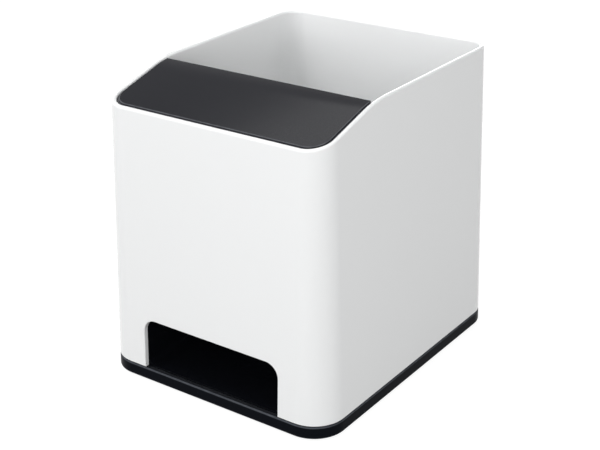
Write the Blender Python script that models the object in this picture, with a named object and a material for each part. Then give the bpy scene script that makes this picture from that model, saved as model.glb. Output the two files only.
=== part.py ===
"""Desk pen holder with a built-in sound horn that carries a phone's sound to the front.

Metres, +Z up. Seen from the front, +X is to the right and the front faces -Y. The holder stands on
Z = 0, and the origin is on the desk under the middle of the body.
"""

import math

import bmesh
import bpy
from mathutils import Vector

# Body, measured round the lower edge of the base plate
BODY_WIDTH = 0.0885
BODY_DEPTH = 0.1066
CORNER_RADIUS = 0.011
DRAFT_ANGLE = math.radians(1.75)

# Rim of the shell
REAR_RIM_HEIGHT = 0.1019
BEND_RIM_DROP = 0.0007
FRONT_RIM_DROP = 0.0097
BEND_SETBACK = 0.0318
BEND_LENGTH = 0.012
RIM_EDGE_RADIUS = 0.0006

# Walls and clearances
SHELL_WALL = 0.0016
FIT_GAP = 0.0003
EMBED = 0.0006
SEAT_STEP = 0.0001
OVERRUN = 0.002

# Mouth in the front wall
MOUTH_WIDTH = 0.0537
MOUTH_TOP = 0.0227
MOUTH_CORNER_RADIUS = 0.0046
MOUTH_EDGE_BREAK = 0.0004

# Base plate
BASE_EDGE_HEIGHT = 0.00415
BASE_FLOOR = 0.0026
BASE_EDGE_RADIUS = 0.0005
SEAT_MARGIN = 0.0002
BASE_RIB_THICKNESS = 0.0014
BASE_RIB_PLACE_SHARE = 0.42
TAB_LENGTH = 0.012
TAB_THICKNESS = 0.0016
TAB_HEIGHT = 0.004
TAB_PLACE_SHARES = (-0.8, 0.5)

# Rubber feet
FOOT_PROUD = 0.0006
FOOT_SINK = 0.001
FOOT_DIAMETER = 0.010
FOOT_EDGE_RADIUS = 0.0003
FOOT_LAND = 0.0015

# Screws that hold the base plate, and their bosses in the shell's corners
SCREW_SHANK_DIAMETER = 0.0029
SCREW_TIP_LENGTH = 0.0015
SCREW_HEAD_DIAMETER = 0.0052
SCREW_HEAD_HEIGHT = 0.0015
SCREW_HEAD_SETBACK = 0.0002
BOSS_DIAMETER = 0.0064
BOSS_COVER = 0.0035
CROSS_WIDTH_SHARE = 0.16
CROSS_LENGTH_SHARE = 0.62
CROSS_DEPTH_SHARE = 0.6
HEAD_EDGE_SHARE = 0.33
TIP_WIDTH_SHARE = 0.5
TIP_LENGTH_LIMIT_SHARE = 0.5

# Pen compartment
PEN_FLOOR_HEIGHT = 0.0176
PEN_FLOOR_THICKNESS = 0.002
PEN_FLOOR_DISH = 0.0007
PEN_FLOOR_BORDER = 0.003
DIVIDER_WALL = 0.0018
DIVIDER_HEIGHT = 0.086
DIVIDER_CORNER_RADIUS = 0.003
DIVIDER_EDGE_RADIUS = 0.0004

# Phone slot
SLOT_DEPTH = 0.013
SLOT_FLOOR_HEIGHT = 0.036
CRADLE_WALL = 0.0016
CHEEK_STEP = 0.002
GASKET_THICKNESS = 0.0016
GASKET_RIM = 0.005
GASKET_CLEARANCE = 0.0007
GASKET_CORNER_RADIUS = 0.003
GASKET_HOLE_MARGIN = 0.0002

# Guide ribs and posts inside the shell
GUIDE_PROUD = 0.0016
GUIDE_WIDTH = 0.0012
POST_WIDTH = 0.0019
GUIDE_TOP_DROP = 0.002
GUIDE_CLEARANCE = 0.001

# Panel over the front, and the ledge that carries it
PANEL_THICKNESS = 0.0022
PANEL_RECESS = 0.0002
PANEL_EDGE_RADIUS = 0.0005
LEDGE_WIDTH = 0.0016
LEDGE_HEIGHT = 0.0015
SKIRT_WALL = 0.0014
SKIRT_BELOW_HOOK = 0.0004
HOOK_LENGTH = 0.006
HOOK_REACH = 0.0009
HOOK_HEIGHT = 0.0012
HOOK_NOSE_SHARE = 0.33
HOOK_PLACE_SHARE = 0.5

# Sound horn: a curved duct from the throat under the phone to the mouth
THROAT_WIDTH = 0.050
THROAT_MARGIN = 0.0025
HORN_WALL = 0.0015
HORN_BEND_SHARE = 0.93
UPPER_CORNER_SHARE = 0.52
LOWER_CORNER_SHARE = 0.25
FLANGE_WIDTH = 0.0044
FLANGE_BEAD = 0.0004
FLANGE_THICKNESS = 0.0012
FLANGE_CLEARANCE = 0.001
SADDLE_THICKNESS = 0.0016
SADDLE_PLACE_SHARE = 0.32
SADDLE_START_SHARE = 0.12
SADDLE_END_SHARE = 0.9

# Screws through the horn's flanges
HORN_SCREW_SHANK_DIAMETER = 0.002
HORN_SCREW_HEAD_DIAMETER = 0.0038
HORN_SCREW_HEAD_HEIGHT = 0.0013
HORN_BOSS_DIAMETER = 0.0052
HORN_BOSS_DEPTH = 0.0045
HORN_BOSS_COVER = 0.001

# Steps of the curves
CORNER_STEPS = 9
BEND_STEPS = 6
SIDE_STEPS = 6
BETWEEN_SHARE = 0.5
ROUNDING_STEPS = 3
CIRCLE_STEPS = 24
HORN_ARC_STEPS = 12
HORN_CORNER_STEPS = 5
MOUTH_CORNER_STEPS = 6
DIVIDER_CORNER_STEPS = 6
DIVIDER_EDGE_STEPS = 2
RIM_ROUNDS = 8
SMOOTH_ANGLE = math.radians(32)
DIVIDER_EDGE_ANGLE = math.radians(50)

# Each material's name, colour, roughness and metal share
SHELL_WHITE = ("white_gloss_plastic", (0.84, 0.84, 0.83), 0.22, 0.0)
PANEL_ANTHRACITE = ("anthracite_satin_plastic", (0.045, 0.048, 0.055), 0.32, 0.0)
BASE_BLACK = ("black_plastic", (0.010, 0.011, 0.013), 0.38, 0.0)
FOOT_RUBBER = ("black_rubber", (0.02, 0.02, 0.02), 0.8, 0.0)
SCREW_STEEL = ("zinc_plated_steel", (0.62, 0.62, 0.60), 0.32, 1.0)

# Heights and places that follow from the sizes above
FRONT_Y = -BODY_DEPTH / 2
REAR_Y = BODY_DEPTH / 2
BEND_Y = FRONT_Y + BEND_SETBACK
BEND_Z = REAR_RIM_HEIGHT - BEND_RIM_DROP
FRONT_Z = REAR_RIM_HEIGHT - FRONT_RIM_DROP
PLATE_BOTTOM = FOOT_PROUD
PLATE_TOP = PLATE_BOTTOM + BASE_EDGE_HEIGHT
PLATE_FLOOR_TOP = PLATE_BOTTOM + BASE_FLOOR
SHELL_BOTTOM = PLATE_TOP + FIT_GAP
SEAT_WIDTH = SHELL_WALL + SEAT_MARGIN
PEN_FLOOR_BOTTOM = PEN_FLOOR_HEIGHT - PEN_FLOOR_THICKNESS
BOSS_TOP = PEN_FLOOR_BOTTOM - FIT_GAP
SLOT_REAR_Y = BEND_Y + SLOT_DEPTH
DIVIDER_REAR_Y = SLOT_REAR_Y + DIVIDER_WALL
CRADLE_FRONT_Y = BEND_Y - CRADLE_WALL
CRADLE_REAR_Y = SLOT_REAR_Y - FIT_GAP
CRADLE_BOTTOM = SLOT_FLOOR_HEIGHT - CRADLE_WALL
LEDGE_REAR_Y = CRADLE_FRONT_Y - FIT_GAP
PANEL_UNDERSIDE_DROP = PANEL_RECESS + PANEL_THICKNESS
LEDGE_DROP = PANEL_UNDERSIDE_DROP + FIT_GAP
THROAT_DEPTH = SLOT_DEPTH - 2 * THROAT_MARGIN
THROAT_Y = (BEND_Y + SLOT_REAR_Y) / 2
THROAT_Z = CRADLE_BOTTOM - FIT_GAP
MOUTH_FLOOR = PLATE_FLOOR_TOP + FIT_GAP + HORN_WALL
MOUTH_MIDDLE = (MOUTH_FLOOR + MOUTH_TOP) / 2
MOUTH_Y = FRONT_Y + SEAT_WIDTH + FIT_GAP
HORN_BEND_RADIUS = HORN_BEND_SHARE * (THROAT_Z - MOUTH_MIDDLE)


def draft_inset(z):
    """How far the outer walls have leaned in at height z."""
    return (z - PLATE_BOTTOM) * math.tan(DRAFT_ANGLE)


def half_width(z, inset):
    return BODY_WIDTH / 2 - draft_inset(z) - inset


def half_depth(z, inset):
    return BODY_DEPTH / 2 - draft_inset(z) - inset


def corner_radius(z, inset):
    return CORNER_RADIUS - draft_inset(z) - inset


def boss_offset():
    """Distance of a boss from the centre of its corner's curve, so that it sinks into the wall."""
    inner_radius = corner_radius(SHELL_BOTTOM, SHELL_WALL)
    return inner_radius + EMBED - BOSS_DIAMETER / 2


def boss_places():
    along = boss_offset() * math.cos(math.radians(45))
    x = BODY_WIDTH / 2 - CORNER_RADIUS + along
    y = BODY_DEPTH / 2 - CORNER_RADIUS + along
    return [(side * x, end * y) for end in (-1, 1) for side in (-1, 1)]


def foot_places():
    """Each foot sits on the corner's diagonal, a land's width in from its screw."""
    apart = (SCREW_HEAD_DIAMETER + FOOT_DIAMETER) / 2 + 2 * FIT_GAP + FOOT_LAND
    step = apart * math.cos(math.radians(45))
    return [(x - math.copysign(step, x), y - math.copysign(step, y)) for x, y in boss_places()]


def rim_height(y):
    """Height of the rim: a slope at the front, a soft bend, and a nearly level run to the back."""
    front_slope = (BEND_Z - FRONT_Z) / (BEND_Y - FRONT_Y)
    rear_slope = (REAR_RIM_HEIGHT - BEND_Z) / (REAR_Y - BEND_Y)
    reach = BEND_LENGTH / 2
    run = y - BEND_Y
    if run <= -reach:
        return BEND_Z + front_slope * run
    if run >= reach:
        return BEND_Z + rear_slope * run
    turned = run + reach
    start = BEND_Z - front_slope * reach
    bending = (rear_slope - front_slope) / BEND_LENGTH
    return start + front_slope * turned + bending * turned**2 / 2


# A station is a place on the body's outline. It is a function that gives the point there at a height
# and at an inset from the outer face.


def corner_station(side, end, angle):
    def place(z, inset):
        radius = corner_radius(z, inset)
        x = half_width(z, inset) - radius + radius * math.cos(angle)
        y = half_depth(z, inset) - radius + radius * math.sin(angle)
        return side * x, end * y

    return place


def side_station(side, y):
    return lambda z, inset: (side * half_width(z, inset), y)


def front_station(x):
    return lambda z, inset: (x, -half_depth(z, inset))


def corner_stations(side, end, towards_end, between=False):
    """Stations round a corner: at its steps, with both ends, or between its steps."""
    if between:
        turns = [(step + BETWEEN_SHARE) / CORNER_STEPS for step in range(CORNER_STEPS)]
    else:
        turns = [step / CORNER_STEPS for step in range(CORNER_STEPS + 1)]
    angles = [math.radians(90) * turn for turn in turns]
    if not towards_end:
        angles.reverse()
    return [corner_station(side, end, angle) for angle in angles]


def outline_stations(bend_points):
    """The whole outline, counter-clockwise from the right side's front end."""
    shares = [step / BEND_STEPS - 0.5 for step in range(BEND_STEPS + 1)] if bend_points else []
    bends = [BEND_Y + BEND_LENGTH * share for share in shares]
    right = [side_station(1, y) for y in bends]
    left = [side_station(-1, y) for y in reversed(bends)]
    back = corner_stations(1, 1, True) + corner_stations(-1, 1, False)
    front = corner_stations(-1, -1, True) + corner_stations(1, -1, False)
    return right + back + left + front


def front_path(rear_y, between=False):
    """The outline's front part: from rear_y along the left side, round the front and up the right."""
    tangent = CORNER_RADIUS - BODY_DEPTH / 2
    ys = [rear_y + (tangent - rear_y) * step / SIDE_STEPS for step in range(SIDE_STEPS)]
    left = [side_station(-1, y) for y in ys]
    right = [side_station(1, y) for y in reversed(ys)]
    corners = corner_stations(-1, -1, True, between) + corner_stations(1, -1, False, between)
    return left + corners + right


def rear_path(front_y):
    """The outline's rear part: from front_y up the right side, round the back and down the left."""
    ends = [side_station(1, front_y)], [side_station(-1, front_y)]
    return ends[0] + corner_stations(1, 1, True) + corner_stations(-1, 1, False) + ends[1]


def level_point(station, z, inset):
    x, y = station(z, inset)
    return Vector((x, y, z))


def rim_point(station, inset, drop):
    """The point at a station that lies a drop below the rim, which slopes with y."""
    z = REAR_RIM_HEIGHT
    for _ in range(RIM_ROUNDS):
        x, y = station(z, inset)
        z = rim_height(y) - drop
    return Vector((x, y, z))


def edge_up(radius, inset, drop):
    """(inset, drop) pairs round an edge, from the outer face at the inset to the top at the drop."""
    turns = [math.radians(90) * step / ROUNDING_STEPS for step in range(ROUNDING_STEPS + 1)]
    return [(inset + radius * (1 - math.cos(a)), drop + radius * (1 - math.sin(a))) for a in turns]


def edge_down(radius, inset, drop):
    """(inset, drop) pairs round an edge, from the top at the drop to the inner face at the inset."""
    turns = [math.radians(90) * step / ROUNDING_STEPS for step in range(ROUNDING_STEPS + 1)]
    return [(inset - radius * (1 - math.sin(a)), drop + radius * (1 - math.cos(a))) for a in turns]


def box_ring(low_x, high_x, low_y, high_y, z):
    corners = ((low_x, low_y), (high_x, low_y), (high_x, high_y), (low_x, high_y))
    return [Vector((x, y, z)) for x, y in corners]


def circle_ring(x, y, z, radius):
    angles = [math.tau * step / CIRCLE_STEPS for step in range(CIRCLE_STEPS)]
    return [Vector((x + radius * math.cos(a), y + radius * math.sin(a), z)) for a in angles]


def rounded_ring(half_x, half_y, radius, y, z):
    points = []
    for quarter, (side, end) in enumerate(((1, 1), (-1, 1), (-1, -1), (1, -1))):
        for step in range(CORNER_STEPS + 1):
            angle = math.radians(90) * (quarter + step / CORNER_STEPS)
            point_x = side * (half_x - radius) + radius * math.cos(angle)
            point_y = y + end * (half_y - radius) + radius * math.sin(angle)
            points.append(Vector((point_x, point_y, z)))
    return points


def add_loft(mesh, rings, closed=False, mirrored_caps=False):
    """Adds a skin over rings of equal length. It is closed into a loop, or capped at both ends."""
    rows = [[mesh.verts.new(point) for point in ring] for ring in rings]
    count = len(rows[0])
    for lower, upper in zip(rows, rows[1:] + rows[:1] if closed else rows[1:]):
        for here in range(count):
            there = (here + 1) % count
            mesh.faces.new((lower[here], lower[there], upper[there], upper[here]))
    if closed:
        return
    for row in (rows[0], rows[-1]):
        if mirrored_caps:
            for here in range(count // 2 - 1):
                mesh.faces.new((row[here], row[here + 1], row[count - 2 - here], row[count - 1 - here]))
        else:
            mesh.faces.new(row)


def add_column(mesh, x, y, radius, low, high):
    add_loft(mesh, [circle_ring(x, y, low, radius), circle_ring(x, y, high, radius)])


def add_box(mesh, low, high):
    add_loft(mesh, [box_ring(low[0], high[0], low[1], high[1], z) for z in (low[2], high[2])])


def add_turned(mesh, profile):
    """Adds a body turned about Z from (radius, z) pairs. Both ends are flat or come to a small tip."""
    add_loft(mesh, [circle_ring(0, 0, z, radius) for radius, z in profile])


def finished(mesh, name):
    """Turns a bmesh into Blender's mesh, with its faces outward and its round faces smooth."""
    bmesh.ops.recalc_face_normals(mesh, faces=mesh.faces)
    data = bpy.data.meshes.new(name)
    mesh.to_mesh(data)
    mesh.free()
    data.shade_smooth()
    data.set_sharp_from_angle(angle=SMOOTH_ANGLE)
    return data


def piece(name, data, material, holder, location=(0, 0, 0)):
    if not data.materials:
        data.materials.append(material)
    made = bpy.data.objects.new(name, data)
    bpy.context.scene.collection.objects.link(made)
    made.parent = holder
    made.location = location
    return made


def combine(target, operation, name, mesh):
    """Joins a helper body to the target or cuts it away. The helper isn't rendered."""
    helper = bpy.data.objects.new(name, finished(mesh, name))
    bpy.context.scene.collection.objects.link(helper)
    helper.parent = target.parent
    helper.hide_render = True
    helper.display_type = "WIRE"
    modifier = target.modifiers.new(name, "BOOLEAN")
    modifier.operation = operation
    modifier.object = helper


def make_material(name, colour, roughness, metallic):
    material = bpy.data.materials.new(name)
    material.use_nodes = True
    shader = material.node_tree.nodes["Principled BSDF"]
    shader.inputs["Base Color"].default_value = (*colour, 1.0)
    shader.inputs["Roughness"].default_value = roughness
    shader.inputs["Metallic"].default_value = metallic
    return material


# Outer shell


def shell_walls():
    stations = outline_stations(bend_points=True)
    section = edge_up(RIM_EDGE_RADIUS, 0, 0) + edge_down(RIM_EDGE_RADIUS, SHELL_WALL, 0)
    rings = [[level_point(station, SHELL_BOTTOM, 0) for station in stations]]
    rings += [[rim_point(station, inset, drop) for station in stations] for inset, drop in section]
    rings.append([level_point(station, SHELL_BOTTOM, SHELL_WALL) for station in stations])
    mesh = bmesh.new()
    add_loft(mesh, rings, closed=True)
    return mesh


def add_panel_ledge(mesh):
    """Adds the ledge round the front that the panel's edge rests on, with a slanted underside.

    Its stations lie between the wall's, so that no edge of the one lies along an edge of the other.
    """
    foot = LEDGE_DROP + LEDGE_HEIGHT
    section = [
        (SHELL_WALL - EMBED, LEDGE_DROP),
        (SHELL_WALL + LEDGE_WIDTH, LEDGE_DROP),
        (SHELL_WALL + LEDGE_WIDTH, foot),
        (SHELL_WALL - EMBED, foot + LEDGE_WIDTH + EMBED),
    ]
    path = front_path(LEDGE_REAR_Y, between=True)
    add_loft(mesh, [[rim_point(station, *pair) for pair in section] for station in path])


def add_wall_rib(mesh, side, low_y, high_y, low_z, high_z):
    """Adds an upright rib on the inner face of a side wall. It leans with the wall."""
    rings = []
    for z in (low_z, high_z):
        insets = (SHELL_WALL - EMBED, SHELL_WALL + GUIDE_PROUD)
        xs = sorted(side * half_width(z, inset) for inset in insets)
        rings.append(box_ring(*xs, low_y, high_y, z))
    add_loft(mesh, rings)


def shell_ribs():
    """The panel's ledge, guides for the cradle and the divider, posts and the corner bosses."""
    foot = SHELL_BOTTOM + SEAT_STEP
    ledge_foot = LEDGE_DROP + LEDGE_HEIGHT + LEDGE_WIDTH + EMBED
    front_guide_top = rim_height(LEDGE_REAR_Y - GUIDE_WIDTH) - ledge_foot - GUIDE_CLEARANCE
    behind = DIVIDER_REAR_Y + FIT_GAP
    mesh = bmesh.new()
    add_panel_ledge(mesh)
    for side in (-1, 1):
        add_wall_rib(mesh, side, LEDGE_REAR_Y - GUIDE_WIDTH, LEDGE_REAR_Y, foot, front_guide_top)
        post_top = CRADLE_BOTTOM - FIT_GAP
        add_wall_rib(mesh, side, CRADLE_REAR_Y - POST_WIDTH, CRADLE_REAR_Y, foot, post_top)
        low, high = PEN_FLOOR_HEIGHT + FIT_GAP, DIVIDER_HEIGHT - GUIDE_TOP_DROP
        add_wall_rib(mesh, side, behind, behind + GUIDE_WIDTH, low, high)
    for x, y in boss_places():
        add_column(mesh, x, y, BOSS_DIAMETER / 2, foot, BOSS_TOP)
    return mesh


def mouth_opening():
    """Cutter for the mouth: square at the foot, round at the top corners, with its front edge broken."""

    def ring(y, grow):
        half = MOUTH_WIDTH / 2 + grow
        radius = MOUTH_CORNER_RADIUS + grow
        points = [Vector((-half, y, PLATE_BOTTOM)), Vector((half, y, PLATE_BOTTOM))]
        for side in (1, -1):
            for step in range(MOUTH_CORNER_STEPS + 1):
                turn = step if side > 0 else MOUTH_CORNER_STEPS - step
                angle = math.radians(90) * turn / MOUTH_CORNER_STEPS
                x = side * (MOUTH_WIDTH / 2 - MOUTH_CORNER_RADIUS + radius * math.cos(angle))
                z = MOUTH_TOP - MOUTH_CORNER_RADIUS + radius * math.sin(angle)
                points.append(Vector((x, y, z)))
        return points

    outer_face = -half_depth(MOUTH_TOP, 0)
    mesh = bmesh.new()
    add_loft(
        mesh,
        [
            ring(outer_face - OVERRUN, MOUTH_EDGE_BREAK + OVERRUN),
            ring(outer_face + MOUTH_EDGE_BREAK, 0),
            ring(MOUTH_Y + OVERRUN, 0),
        ],
    )
    return mesh


def screw_seat():
    """Height of the step that the base screws' heads pull against."""
    return PLATE_BOTTOM + SCREW_HEAD_SETBACK + SCREW_HEAD_HEIGHT + FIT_GAP


def screw_tip():
    return BOSS_TOP - BOSS_COVER


def pilot_holes():
    radius = SCREW_SHANK_DIAMETER / 2 + FIT_GAP
    mesh = bmesh.new()
    for x, y in boss_places():
        add_column(mesh, x, y, radius, PLATE_BOTTOM, screw_tip() + FIT_GAP)
    return mesh


def make_outer_shell(material, holder):
    shell = piece("outer_shell", finished(shell_walls(), "outer_shell"), material, holder)
    combine(shell, "UNION", "shell_ribs", shell_ribs())
    combine(shell, "DIFFERENCE", "shell_mouth_cutter", mouth_opening())
    combine(shell, "DIFFERENCE", "shell_pilot_cutter", pilot_holes())


# Top panel


def sloped_slab(path, section):
    """A slab whose faces follow the rim, from (inset, drop) pairs down its edge."""
    mesh = bmesh.new()
    rings = [[rim_point(station, inset, drop) for station in path] for inset, drop in section]
    add_loft(mesh, rings, mirrored_caps=True)
    return mesh


def skirt_depth():
    """Depth of the skirt under the panel, long enough to carry the hooks below the ledge."""
    return FIT_GAP + LEDGE_HEIGHT + HOOK_REACH + HOOK_HEIGHT + SKIRT_BELOW_HOOK


def panel_hooks():
    """Snap hooks on the skirt that catch under the ledge: one on each side and two at the front."""
    skirt_inset = SHELL_WALL + LEDGE_WIDTH + FIT_GAP
    top = LEDGE_DROP + LEDGE_HEIGHT + HOOK_REACH
    section = [
        (skirt_inset + EMBED, top),
        (skirt_inset - HOOK_REACH, top),
        (skirt_inset - HOOK_REACH, top + HOOK_HEIGHT * HOOK_NOSE_SHARE),
        (skirt_inset, top + HOOK_HEIGHT),
        (skirt_inset + EMBED, top + HOOK_HEIGHT),
    ]
    middle_y = LEDGE_REAR_Y + (CORNER_RADIUS + FRONT_Y - LEDGE_REAR_Y) * HOOK_PLACE_SHARE
    middle_x = (BODY_WIDTH / 2 - CORNER_RADIUS) * HOOK_PLACE_SHARE
    reach = HOOK_LENGTH / 2
    places = [[side_station(side, middle_y + end * reach) for end in (-1, 1)] for side in (-1, 1)]
    places += [[front_station(side * middle_x + end * reach) for end in (-1, 1)] for side in (-1, 1)]
    mesh = bmesh.new()
    for stations in places:
        add_loft(mesh, [[rim_point(station, *pair) for pair in section] for station in stations])
    return mesh


def make_top_panel(material, holder):
    edge_inset = SHELL_WALL + FIT_GAP
    section = [(edge_inset, PANEL_UNDERSIDE_DROP)]
    section += edge_up(PANEL_EDGE_RADIUS, edge_inset, PANEL_RECESS)
    plate = sloped_slab(front_path(BEND_Y), section)
    skirt_inset = SHELL_WALL + LEDGE_WIDTH + FIT_GAP
    foot = PANEL_UNDERSIDE_DROP + skirt_depth()
    top = PANEL_RECESS + PANEL_THICKNESS / 2
    skirt = sloped_slab(front_path(LEDGE_REAR_Y), [(skirt_inset, foot), (skirt_inset, top)])
    hollow_inset = skirt_inset + SKIRT_WALL
    hollow_section = [(hollow_inset, foot + OVERRUN), (hollow_inset, PANEL_UNDERSIDE_DROP)]
    hollow = sloped_slab(front_path(LEDGE_REAR_Y - SKIRT_WALL), hollow_section)
    panel = piece("top_panel", finished(plate, "top_panel"), material, holder)
    combine(panel, "UNION", "panel_skirt", skirt)
    combine(panel, "DIFFERENCE", "panel_hollow_cutter", hollow)
    combine(panel, "UNION", "panel_hooks", panel_hooks())


# Base plate


def plate_body():
    stations = outline_stations(bend_points=False)
    edge = edge_up(BASE_EDGE_RADIUS, 0, 0)
    levels = [(PLATE_BOTTOM + drop, inset) for inset, drop in reversed(edge)]
    levels += [(PLATE_TOP - drop, inset) for inset, drop in edge]
    mesh = bmesh.new()
    add_loft(mesh, [[level_point(station, z, inset) for station in stations] for z, inset in levels])
    return mesh


def plate_recess():
    """Cutter for the hollow inside the raised edge that the shell stands on."""
    stations = outline_stations(bend_points=False)
    levels = (PLATE_FLOOR_TOP, PLATE_TOP + OVERRUN)
    mesh = bmesh.new()
    add_loft(mesh, [[level_point(station, z, SEAT_WIDTH) for station in stations] for z in levels])
    return mesh


def plate_ribs():
    """Pads round the screws, ribs under the pen floor and tabs that locate the shell."""
    foot = PLATE_FLOOR_TOP - EMBED
    mesh = bmesh.new()
    for x, y in boss_places():
        radius = BOSS_DIAMETER / 2 - EMBED - FIT_GAP
        add_column(mesh, x, y, radius, foot, PLATE_TOP - SEAT_STEP)
    rib_x = BASE_RIB_PLACE_SHARE * BODY_WIDTH / 2
    rib_rear = half_depth(PEN_FLOOR_BOTTOM, SEAT_WIDTH + FIT_GAP) - BOSS_DIAMETER
    for side in (-1, 1):
        low = (side * rib_x - BASE_RIB_THICKNESS / 2, DIVIDER_REAR_Y + FIT_GAP, foot)
        high = (side * rib_x + BASE_RIB_THICKNESS / 2, rib_rear, BOSS_TOP)
        add_box(mesh, low, high)
    tab_top = PLATE_TOP + TAB_HEIGHT
    tab_outer = BODY_WIDTH / 2 - draft_inset(tab_top) - SHELL_WALL - FIT_GAP
    for side in (-1, 1):
        xs = sorted((side * tab_outer, side * (tab_outer - TAB_THICKNESS)))
        for share in TAB_PLACE_SHARES:
            y = share * (BODY_DEPTH / 2 - CORNER_RADIUS)
            add_box(mesh, (xs[0], y - TAB_LENGTH / 2, foot), (xs[1], y + TAB_LENGTH / 2, tab_top))
    rear_outer = BODY_DEPTH / 2 - draft_inset(tab_top) - SHELL_WALL - FIT_GAP
    low = (-TAB_LENGTH / 2, rear_outer - TAB_THICKNESS, foot)
    add_box(mesh, low, (TAB_LENGTH / 2, rear_outer, tab_top))
    return mesh


def plate_bores():
    """Cutter for the foot recesses and for the screws' holes."""
    below = PLATE_BOTTOM - OVERRUN
    mesh = bmesh.new()
    for x, y in foot_places():
        add_column(mesh, x, y, FOOT_DIAMETER / 2 + FIT_GAP, below, PLATE_BOTTOM + FOOT_SINK)
    for x, y in boss_places():
        wide = SCREW_HEAD_DIAMETER / 2 + FIT_GAP
        narrow = SCREW_SHANK_DIAMETER / 2 + FIT_GAP
        seat, above = screw_seat(), PLATE_TOP + OVERRUN
        profile = ((wide, below), (wide, seat), (narrow, seat), (narrow, above))
        add_loft(mesh, [circle_ring(x, y, z, radius) for radius, z in profile])
    return mesh


def make_base_plate(material, holder):
    plate = piece("base_plate", finished(plate_body(), "base_plate"), material, holder)
    combine(plate, "DIFFERENCE", "plate_recess_cutter", plate_recess())
    combine(plate, "UNION", "plate_ribs", plate_ribs())
    combine(plate, "DIFFERENCE", "plate_bore_cutter", plate_bores())


# Feet and screws


def make_feet(material, holder):
    radius = FOOT_DIAMETER / 2
    top = PLATE_BOTTOM + FOOT_SINK - FIT_GAP
    edge = edge_up(FOOT_EDGE_RADIUS, 0, 0)
    profile = [(radius - inset, drop) for inset, drop in reversed(edge)]
    mesh = bmesh.new()
    add_turned(mesh, profile + [(radius, top)])
    data = finished(mesh, "foot")
    for number, (x, y) in enumerate(foot_places(), start=1):
        piece(f"foot_{number}", data, material, holder, (x, y, 0))


def screw_mesh(name, shank, head, head_height, length):
    """A screw that points up from a low pan head with a cross recess, head at Z = 0."""
    edge = head_height * HEAD_EDGE_SHARE
    tip = min(SCREW_TIP_LENGTH, length * TIP_LENGTH_LIMIT_SHARE)
    profile = [
        (head / 2 - edge, 0),
        (head / 2, edge),
        (head / 2, head_height),
        (shank / 2, head_height),
        (shank / 2, head_height + length - tip),
        (shank / 2 * TIP_WIDTH_SHARE, head_height + length),
    ]
    body = bmesh.new()
    add_turned(body, profile)
    blank = bpy.data.objects.new(name + "_blank", finished(body, name))
    bpy.context.scene.collection.objects.link(blank)
    depth = head_height * CROSS_DEPTH_SHARE
    cutters = []
    for half_x, half_y in (
        (CROSS_LENGTH_SHARE, CROSS_WIDTH_SHARE),
        (CROSS_WIDTH_SHARE, CROSS_LENGTH_SHARE),
    ):
        cross = bmesh.new()
        low = (-head / 2 * half_x, -head / 2 * half_y, -OVERRUN)
        add_box(cross, low, (head / 2 * half_x, head / 2 * half_y, depth))
        cutter = bpy.data.objects.new(name + "_cross", finished(cross, name + "_cross"))
        bpy.context.scene.collection.objects.link(cutter)
        modifier = blank.modifiers.new("cross", "BOOLEAN")
        modifier.object = cutter
        cutters.append(cutter)
    graph = bpy.context.evaluated_depsgraph_get()
    data = bpy.data.meshes.new_from_object(blank.evaluated_get(graph))
    for helper in [blank] + cutters:
        bpy.data.objects.remove(helper)
    data.materials.clear()
    data.shade_smooth()
    data.set_sharp_from_angle(angle=SMOOTH_ANGLE)
    return data


def make_base_screws(material, holder):
    head_z = PLATE_BOTTOM + SCREW_HEAD_SETBACK
    length = screw_tip() - head_z - SCREW_HEAD_HEIGHT
    sizes = (SCREW_SHANK_DIAMETER, SCREW_HEAD_DIAMETER, SCREW_HEAD_HEIGHT, length)
    data = screw_mesh("base_screw", *sizes)
    for number, (x, y) in enumerate(boss_places(), start=1):
        piece(f"base_screw_{number}", data, material, holder, (x, y, head_z))


# Pen compartment


def make_pen_floor(material, holder):
    front = DIVIDER_REAR_Y + FIT_GAP
    inset = SHELL_WALL + FIT_GAP
    mesh = bmesh.new()
    path = rear_path(front)
    levels = (PEN_FLOOR_BOTTOM, PEN_FLOOR_HEIGHT)
    rings = [[level_point(station, z, inset) for station in path] for z in levels]
    add_loft(mesh, rings)
    dish = bmesh.new()
    dish_path = rear_path(front + PEN_FLOOR_BORDER)
    dish_levels = (PEN_FLOOR_HEIGHT - PEN_FLOOR_DISH, PEN_FLOOR_HEIGHT + OVERRUN)
    border = inset + PEN_FLOOR_BORDER
    rings = [[level_point(station, z, border) for station in dish_path] for z in dish_levels]
    add_loft(dish, rings)
    floor = piece("pen_floor", finished(mesh, "pen_floor"), material, holder)
    combine(floor, "DIFFERENCE", "pen_floor_dish_cutter", dish)


def make_divider_wall(material, holder):
    foot = PLATE_FLOOR_TOP + FIT_GAP
    inset = SEAT_WIDTH + FIT_GAP
    outline = [(-half_width(foot, inset), foot), (half_width(foot, inset), foot)]
    for side in (1, -1):
        for step in range(DIVIDER_CORNER_STEPS + 1):
            turn = step if side > 0 else DIVIDER_CORNER_STEPS - step
            angle = math.radians(90) * turn / DIVIDER_CORNER_STEPS
            z = DIVIDER_HEIGHT - DIVIDER_CORNER_RADIUS * (1 - math.sin(angle))
            x = half_width(z, inset) - DIVIDER_CORNER_RADIUS * (1 - math.cos(angle))
            outline.append((side * x, z))
    mesh = bmesh.new()
    faces = (SLOT_REAR_Y, DIVIDER_REAR_Y)
    add_loft(mesh, [[Vector((x, y, z)) for x, z in outline] for y in faces])
    divider = piece("divider_wall", finished(mesh, "divider_wall"), material, holder)
    edge = divider.modifiers.new("edges", "BEVEL")
    edge.width = DIVIDER_EDGE_RADIUS
    edge.segments = DIVIDER_EDGE_STEPS
    edge.limit_method = "ANGLE"
    edge.angle_limit = DIVIDER_EDGE_ANGLE


# Phone slot


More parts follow.
